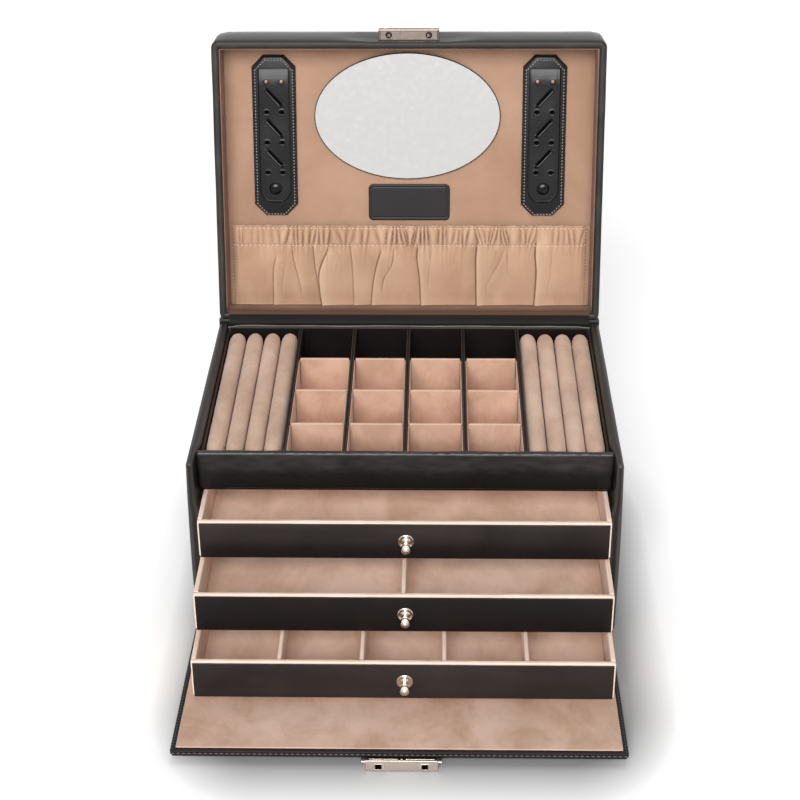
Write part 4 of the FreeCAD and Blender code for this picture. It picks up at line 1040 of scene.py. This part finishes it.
# Painted shade is laid in the pleat lines and valleys, and painted highlight on the crests, beside each pleat
# and along the foot.
for r, cloth_row in enumerate(cloth_rows):
    for c, vert in enumerate(cloth_row):
        vert[crease_shade_layer], vert[highlight_layer] = pocket_shape(2 * c / POCKET_COLUMNS - 1, r / POCKET_ROWS)[1:]
pocket = fit("gathered_pocket", pocket_mesh, pocket_velour, "lid", ("lid_pocket",), LID, sharp=80)
cloth = pocket.modifiers.new("cloth", "SOLIDIFY")
cloth.thickness = 0.7 * MM
cloth.offset = -1
cloth_thread = thread("cloth_thread", (0.85, 0.72, 0.58))
pocket_seams = [[pocket_point(2 * c / 300 - 1, row, 0.12 * MM) for c in range(4, 297)]
                for row in (HEM_ROW, ELASTIC_ROW)]
sew("pocket_stitches", pocket_seams, cloth_thread, 3.4 * MM, 2.3 * MM, 0.55 * MM, "lid", LID)
side_seams = [[pocket_point(u, r / 40, 0.12 * MM) for r in range(1, 39)] for u in (-0.978, 0.978)]
sew("pocket_side_stitches", side_seams, thread("tan_thread", (0.17, 0.1, 0.066)), 2.6 * MM, 1.2 * MM,
    0.6 * MM, "lid", LID)

# Lock keeper: a pressed nickel box on the lid's front wall with two hooks that drop into the lock.
# Two slotted screws hold it from the front.
(keeper_low, keeper_high), = spans("lock_keeper", LID)
KEEPER_FACE = 6.65 * MM
HOOK_PLACES = ((-14.5 * MM, 1), (14.5 * MM, -1))
face_middle = ((keeper_low.x + keeper_high.x) / 2, (keeper_low.y + keeper_high.y) / 2)
keeper_width, keeper_depth = keeper_high.x - keeper_low.x, keeper_high.y - keeper_low.y
keeper_mesh = bmesh.new()
keeper_rings = [ring(keeper_width - 2 * inset * MM, keeper_depth - 2 * inset * MM, max(0.7 - inset, 0.1) * MM,
                     KEEPER_FACE + sink * MM, face_middle)
                for inset, sink in ((0.0, 10.0), (0.0, 0.6), (0.15, 0.2), (0.5, 0.0), (1.0, 0.0),
                                    (1.25, 0.3), (1.6, 0.3))]
skin(keeper_mesh, keeper_rings)
HOOK = ((-1.7, 0.6), (-1.7, -2.0), (-1.2, -3.0), (-0.2, -3.6), (1.1, -3.5), (1.7, -2.8), (1.4, -2.0),
        (0.6, -1.9), (0.1, -1.3), (0.3, -0.5), (1.2, 0.0), (1.7, 0.6))
for hook_x, way in HOOK_PLACES:
    rings = [[Vector((hook_x + way * x * MM, face_middle[1] + y * MM, KEEPER_FACE + z * MM)) for x, z in HOOK]
             for y in (-1.0, 1.0)]
    skin(keeper_mesh, rings)
dull_nickel = metal("dull_nickel", (0.165, 0.133, 0.117), 0.22, 0.004)
fit("lock_keeper_box", keeper_mesh, dull_nickel, "lid", ("lock_keeper",), LID, sharp=30)
screw_mesh = bmesh.new()
for low, high in spans("keeper_screws", LID):
    centre = (low + high) / 2
    radius = (high.x - low.x) / 2
    tall = 0.3 * (high.y - low.y)
    rings = []
    for share, rise in ((1.0, 0.0), (1.0, 0.35), (0.9, 0.62), (0.7, 0.84), (0.45, 0.96), (0.2, 1.0)):
        rings.append([Vector((centre.x + radius * share * math.cos(a), high.y - tall * rise,
                              centre.z + radius * share * math.sin(a))) for a in turns(24)])
    for ring_points in rings[1:]:
        for spot in ring_points:
            if abs(spot.z - centre.z - 0.3 * (spot.x - centre.x)) < 0.36 * MM:
                spot.y = max(spot.y, high.y - 0.35 * tall)
    skin(screw_mesh, rings)
fit("keeper_screw_heads", screw_mesh, nickel, "lid", ("keeper_screws",), LID, sharp=30)
# Dark metal along the keeper's stepped seams, in its hook openings and inside the lock case: painted shade.
painted_shade_metal = metal("painted_shade_metal", (0.028, 0.019, 0.014), 0.5, 0.03)
keeper_shade_mesh = bmesh.new()
edge_low, edge_high = keeper_low.x + 1.0 * MM, keeper_high.x - 1.0 * MM
seat_low, seat_high = keeper_low.y + 1.0 * MM, keeper_high.y - 0.9 * MM
for low_x, high_x, low_y, high_y in ((edge_low, edge_low + 0.45 * MM, seat_low, seat_high),
                                     (edge_high - 0.45 * MM, edge_high, seat_low, seat_high),
                                     (edge_low, edge_high, seat_low, seat_low + 0.35 * MM)):
    soft_board(keeper_shade_mesh, Vector((low_x, low_y, KEEPER_FACE - 0.06 * MM)),
               Vector((high_x, high_y, KEEPER_FACE + 0.3 * MM)), 0.05 * MM)
for hook_x, way in HOOK_PLACES:
    hole = Vector((hook_x, face_middle[1], KEEPER_FACE))
    turned(keeper_shade_mesh, hole, ((2.4, 0.4), (2.4, 0.12), (2.1, 0.08), (0.2, 0.08)), 20)
fit("keeper_seam_shade", keeper_shade_mesh, painted_shade_metal, "lid", (), LID)

# Lid hinge: a leather strip inside, from the tray's back collar to the lid's rear wall.
# A second strip outside covers the joint from the back panel to the lid.


def smooth_path(points, count):
    """Points along a soft curve through a few given ones."""
    first = points[0] * 2 - points[1]
    last = points[-1] * 2 - points[-2]
    ends = [first] + list(points) + [last]
    path = []
    for a, b, c, d in zip(ends, ends[1:], ends[2:], ends[3:]):
        for s in range(count):
            t = s / count
            path.append(0.5 * (b * 2 + (c - a) * t + (a * 2 - b * 5 + c * 4 - d) * t ** 2
                               + (b * 3 - a - c * 3 + d) * t ** 3))
    return path + [points[-1]]


def leather_strip(name, path, thick, half, finish, node, across=48):
    """A strip of leather along a path in the YZ plane, in place of a CAD node."""
    rings = []
    for number, point in enumerate(path):
        run = (path[min(number + 1, len(path) - 1)] - path[max(number - 1, 0)]).normalized()
        out = Vector((0, -run.z, run.y))
        row = []
        for c in range(across + 1):
            x = half * (2 * c / across - 1)
            sag = 0.18 * MM * wobble(x * 30, number * 0.4, 2)
            row.append(point + Vector((x, 0, 0)) + out * (thick + sag * (0 < number < len(path) - 1)))
        row += [point + Vector((half * (1 - 2 * c / across), 0, 0)) for c in range(across + 1)]
        rings.append(row)
    bm = bmesh.new()
    skin(bm, rings)
    return fit(name, bm, finish, None, (node,), sharp=50)


def lid_point(along, depth):
    """A point of the YZ plane in the open lid: how far from the hinge and how deep from the rim."""
    return LID @ Vector((0, -along * MM, depth * MM))


STRIP = 0.8 * MM
STRIP_TURN = 142.1 * MM
FOLD_HALF = 136 * MM
hinge_leather = leather("hinge_leather", (0.0045, 0.004, 0.0038), (0.011, 0.0095, 0.009), (0.5, 0.65),
                        shine=0.1)
strip_path = smooth_path([lid_point(6.1, 1.2), lid_point(6.1, -1.1), Vector((0, 0.0985, 0.1361)),
                          Vector((0, 0.0953, 0.1354))], 7)
inner_strip = leather_strip("lid_hinge_inner", strip_path, STRIP, 135.4 * MM, hinge_leather,
                            "lid_hinge_strip")
# The strip's upper part takes the band's darker cloth with full painted shade.
second_finish(inner_strip, shaded_band_velour, lambda face: face.center.z > STRIP_TURN)
for shade in inner_strip.data.attributes.new("painted_shade", "FLOAT", "POINT").data:
    shade.value = 1.0
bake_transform(inner_strip, "case", "lid", start=tuple(strip_path[-1]), end=tuple(strip_path[0]))
# A pale roll along the strip's turn over the collar: a painted highlight.
fold_places = []
for number in range(181):
    x = FOLD_HALF * (2 * number / 180 - 1)
    stray = Vector((0, 0.35 * MM * wobble(x * 45, 1, 1), 0.5 * MM * wobble(x * 30, 5, 1)))
    droop = -1.4 * MM * max(0.0, abs(x) / FOLD_HALF - 0.93) / 0.07
    fold_places.append((Vector((x, 0.0946, 0.1353 + droop)) + stray, 0.38 * MM))
fold_mesh = bmesh.new()
tube(fold_mesh, fold_places, 8)
fit("hinge_strip_fold_highlight", fold_mesh, painted_highlight_leather, "case", (), sharp=80)
wing_path = smooth_path([lid_point(-0.3, 14), lid_point(-0.3, 5), Vector((0, 0.1013, 0.1368)),
                         Vector((0, 0.1013, 0.129)), Vector((0, 0.1013, 0.121))], 6)
outer_strip = leather_strip("lid_hinge_outer", wing_path, STRIP, 143.2 * MM, case_leather,
                            "lid_hinge_leather")
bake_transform(outer_strip, "case", "lid", start=tuple(wing_path[-7]), end=tuple(wing_path[6]))

# Front flap: a leather-wrapped board that covers the drawers, lined with velour inside a narrow border.
# Its hinge is a leather strip glued to the base and the flap; the border is stitched.
FLAP_RISE = 5.85 * MM
FLAP_RUN = 129.4 * MM
FLAP = Matrix.Translation((0, -0.10345, 0.00245)) @ Matrix.Rotation(-math.asin(FLAP_RISE / FLAP_RUN), 4, "X")
flap_leather = leather("flap_leather", (0.007, 0.0052, 0.0058), (0.016, 0.0122, 0.0132), (0.4, 0.56),
                       wear_and_sheen=(0.022, 0.019, 0.0195), shine=0.13)
(flap_low, flap_high), = spans("flap_board", FLAP)
(cloth_low, cloth_high), = spans("flap_lining", FLAP)
flap_low += Vector((-2.5 * MM, -0.5 * MM, 0))
flap_high.x -= 1.1 * MM
cloth_low += Vector((-2.5 * MM, -1.9 * MM, 0))
cloth_high.x -= 1.1 * MM
flap_mesh = bmesh.new()
soft_board(flap_mesh, flap_low, flap_high, 1.0 * MM, 0.006, 0.1 * MM)
fit("flap_board_wrap", flap_mesh, flap_leather, "flap", ("flap_board",), FLAP)
flap_velour = velour("flap_velour", (0.47, 0.3, 0.205), (0.66, 0.46, 0.37), (0.68, 0.47, 0.37), 30.0)
flap_cloth = bmesh.new()
soft_board(flap_cloth, cloth_low, cloth_high, 0.35 * MM, 0.012)
fit("flap_lining_cloth", flap_cloth, flap_velour, "flap", ("flap_lining",), FLAP)
BORDER = 1.7 * MM
seam_z = flap_high.z + 0.05 * MM
flap_seam = [[Vector((side, cloth_high.y, seam_z)), Vector((side, flap_low.y + BORDER, seam_z))]
             for side in (flap_low.x + BORDER, flap_high.x - BORDER)]
dark_thread = thread("dark_thread", (0.1, 0.088, 0.085))
sew("flap_side_stitches", flap_seam, dark_thread, 2.9 * MM, 1.9 * MM, 0.5 * MM, "flap", FLAP)
roll_mesh = bmesh.new()
for height, reach, thick in ((0.35, 0.25, 1.15), (-1.55, 0.35, 1.3)):
    roll_places = []
    for number in range(121):
        x = flap_low.x + 1.5 * MM + (flap_high.x - flap_low.x - 3 * MM) * number / 120
        wave = 0.12 * MM * wobble(x * 60, height, 4)
        roll_places.append((Vector((x, flap_low.y + 0.75 * MM - reach * MM + wave, height * MM)), thick * MM))
    tube(roll_mesh, roll_places, 14)
fit("flap_edge_rolls", roll_mesh, flap_leather, "flap", (), FLAP, sharp=70)
edge_seam = [[Vector((flap_low.x + 2 * MM, flap_low.y - 0.42 * MM, -0.6 * MM)),
              Vector((flap_high.x - 2 * MM, flap_low.y - 0.42 * MM, -0.6 * MM))]]
sew("flap_edge_stitches", edge_seam, thread("grey_thread", (0.2, 0.185, 0.19)), 3.4 * MM, 2.4 * MM, 0.5 * MM,
    "flap", FLAP)
flap_path = smooth_path([Vector((0, -0.11215, 0.0047)), Vector((0, -0.10345, 0.0043)),
                         Vector((0, -0.101, 0.0053)), Vector((0, -0.0953, 0.0053))], 6)
flap_hinge = leather_strip("flap_hinge_strip", flap_path, STRIP, 136.5 * MM, tray_leather,
                           "flap_hinge_leather")
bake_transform(flap_hinge, "case", "flap", start=tuple(flap_path[-1]), end=tuple(flap_path[0]))

# Lock: a nickel case under the flap's front edge with an end plate, two hook holes and a sliding bolt.
# A drawn rod stiffens the top of the plate.
brushed_nickel = metal("brushed_nickel", (0.68, 0.575, 0.505), 0.32, 0.012)
(lock_low, lock_high), = spans("lock_case", FLAP)
LOCK_HALF = 21.7 * MM


def in_lock(face):
    """Whether a face of the lock lies inside its case."""
    spot = FLAP.inverted() @ face.center
    return abs(spot.x) < LOCK_HALF and lock_low.y + 0.15 * MM < spot.y and -8.1 * MM < spot.z < -2.3 * MM


# Faces inside the lock case get the dark metal: painted shade.
for node in ("lock_case", "lock_bolt"):
    lock_part = frame["nodes"][node]
    lock_part.data.materials.clear()
    lock_part.data.materials.append(brushed_nickel)
    second_finish(lock_part, painted_shade_metal, in_lock)
hole_rims = bmesh.new()
PLATE_Y = -141.0 * MM
soft_board(hole_rims, Vector((-22.3 * MM, PLATE_Y - 0.35 * MM, -0.95 * MM)),
           Vector((22.3 * MM, PLATE_Y + 0.4 * MM, -0.4 * MM)), 0.2 * MM)
for hook_x, way in HOOK_PLACES:
    for low_x, high_x, low_z, high_z in ((-2.4, -2.05, -7.3, -3.3), (2.05, 2.4, -7.3, -3.3),
                                         (-2.4, 2.4, -3.4, -3.1), (-2.4, 2.4, -7.5, -7.2)):
        soft_board(hole_rims, Vector((hook_x + low_x * MM, PLATE_Y - 0.18 * MM, low_z * MM)),
                   Vector((hook_x + high_x * MM, PLATE_Y + 0.1 * MM, high_z * MM)), 0.08 * MM)
    notch = Vector((hook_x + way * 3.1 * MM, PLATE_Y, -5.2 * MM))
    rim_profile = ((1.0, 0.0), (0.95, 0.25), (0.7, 0.3), (0.5, 0.1), (0.5, -0.2))
    skin(hole_rims, [[notch + Vector((radius * math.cos(a), -out, radius * math.sin(a))) * MM
                      for a in turns(16)] for radius, out in rim_profile], loop=True)
fit("lock_hole_rims", hole_rims, nickel, "flap", (), FLAP)
cover_mesh = bmesh.new()
for low_x in (-25.2, 21.4):
    soft_board(cover_mesh, Vector((low_x * MM, PLATE_Y + 0.9 * MM, -0.5 * MM)),
               Vector(((low_x + 3.8) * MM, PLATE_Y + 2.4 * MM, 0.4 * MM)), 0.3 * MM)
fit("lock_clips", cover_mesh, flap_leather, "flap", (), FLAP)
spring_mesh = bmesh.new()
for low_x, high_x in ((-20.5, -2.2), (-0.7, 0.9), (2.4, 20.5)):
    soft_board(spring_mesh, Vector((low_x * MM, -137.9 * MM, -2.5 * MM)),
               Vector((high_x * MM, -137.3 * MM, -1.75 * MM)), 0.2 * MM)
fit("lock_spring_bar", spring_mesh, nickel, "flap", (), FLAP)

# Camera, light and floor: the photograph's viewpoint, a pale floor and a soft white room.
# The floor carries a painted shadow close to the box and is lifted to white further off.
focus = (0.01973, -1.07629, 0.74544)
pitch, yaw, roll = (math.radians(angle) for angle in (29.926, 1.306, -0.433))
right = Vector((math.cos(yaw), math.sin(yaw), 0))
ahead = Vector((-math.sin(yaw) * math.cos(pitch), math.cos(yaw) * math.cos(pitch), -math.sin(pitch)))
up = right.cross(ahead)
cam_x = right * math.cos(roll) + up * math.sin(roll)
cam_y = up * math.cos(roll) - right * math.sin(roll)
camera_data = bpy.data.cameras.new("photo_camera")
camera_data.lens = 79.08
camera_data.sensor_width = 36
camera = bpy.data.objects.new("photo_camera", camera_data)
camera.matrix_world = Matrix.Translation(focus) @ Matrix((cam_x, cam_y, -ahead)).transposed().to_4x4()
bpy.context.collection.objects.link(camera)
bpy.context.scene.camera = camera
bpy.context.scene.view_settings.view_transform = "Standard"

for name, azimuth, height, spread, strength in (("key_sun", -5, 32, 36, 3.1), ("top_sun", 172, 78, 34, 0.36)):
    lamp_data = bpy.data.lights.new(name, "SUN")
    lamp_data.energy = strength
    lamp_data.angle = math.radians(spread)
    lamp = bpy.data.objects.new(name, lamp_data)
    across, tall = math.radians(azimuth), math.radians(height)
    toward = Vector((math.sin(across) * math.cos(tall), -math.cos(across) * math.cos(tall), math.sin(tall)))
    lamp.rotation_euler = toward.to_track_quat("Z", "Y").to_euler()
    bpy.context.collection.objects.link(lamp)

world = bpy.data.worlds.new("white_room")
bpy.context.scene.world = world
world.use_nodes = True
room = world.node_tree
for node in list(room.nodes):
    room.nodes.remove(node)
rays = place_node(room, "ShaderNodeLightPath").outputs
seen = worked(room, "MAXIMUM", rays["Is Camera Ray"], rays["Is Glossy Ray"])
seen_through = worked(room, "MAXIMUM", seen, rays["Is Transmission Ray"])
room_place = place_node(room, "ShaderNodeTexCoord").outputs["Generated"]
room_height = place_node(room, "ShaderNodeSeparateXYZ", {"Vector": room_place}).outputs["Z"]
ceiling = ranged(room, room_height, (0.78, 1.5), (0.05, 0.85), interpolation_type="SMOOTHSTEP")
level = place_node(room, "ShaderNodeMix", {0: seen_through, 2: 0.37, 3: ceiling}, data_type="FLOAT")
sky = place_node(room, "ShaderNodeBackground", {"Color": (1, 1, 1, 1), "Strength": level.outputs[0]})
place_node(room, "ShaderNodeOutputWorld", {"Surface": sky.outputs["Background"]})

floor_mesh = bmesh.new()
bmesh.ops.create_grid(floor_mesh, x_segments=8, y_segments=8, size=9)
floor_data = bpy.data.meshes.new("pale_floor")
floor_mesh.to_mesh(floor_data)
floor_mesh.free()
floor_finish, floor_tree, floor_shader, floor_where = new_finish("pale_floor")
floor_tone = ranged(floor_tree, cloudy(floor_tree, floor_where, 3.0, 2.0), (0.965, 0.98))
floor_place = place_node(floor_tree, "ShaderNodeSeparateXYZ", {"Vector": floor_where}).outputs
reach = {}
for way, middle, half, share in (("X", 0.0065, 0.0965, 1.0), ("Y", -0.0723, 0.106, 0.76)):
    size = worked(floor_tree, "ABSOLUTE", worked(floor_tree, "SUBTRACT", floor_place[way], middle))
    beyond = worked(floor_tree, "MAXIMUM", worked(floor_tree, "SUBTRACT", size, half), 0.0)
    reach[way] = worked(floor_tree, "MULTIPLY", beyond, share)
reach = place_node(floor_tree, "ShaderNodeCombineXYZ", reach).outputs["Vector"]
away = place_node(floor_tree, "ShaderNodeVectorMath", {0: reach}, operation="LENGTH").outputs["Value"]
painted_floor_shadow = ranged(floor_tree, away, (0.36, 1.0), (0.045, 0.075))
open_floor = ranged(floor_tree, away, (0.0, 0.16), (0.071, 0.1))
floor_rays = place_node(floor_tree, "ShaderNodeLightPath").outputs
feed(floor_tree, floor_shader, {
    "Roughness": 0.9,
    "Specular IOR Level": 0.0,
    "Base Color": worked(floor_tree, "MULTIPLY", floor_tone, painted_floor_shadow),
    "Emission Color": worked(floor_tree, "MULTIPLY", open_floor, floor_rays["Is Camera Ray"]),
    "Emission Strength": 1.0})
floor_data.materials.append(floor_finish)
floor = bpy.data.objects.new("pale_floor", floor_data)
bpy.context.collection.objects.link(floor)
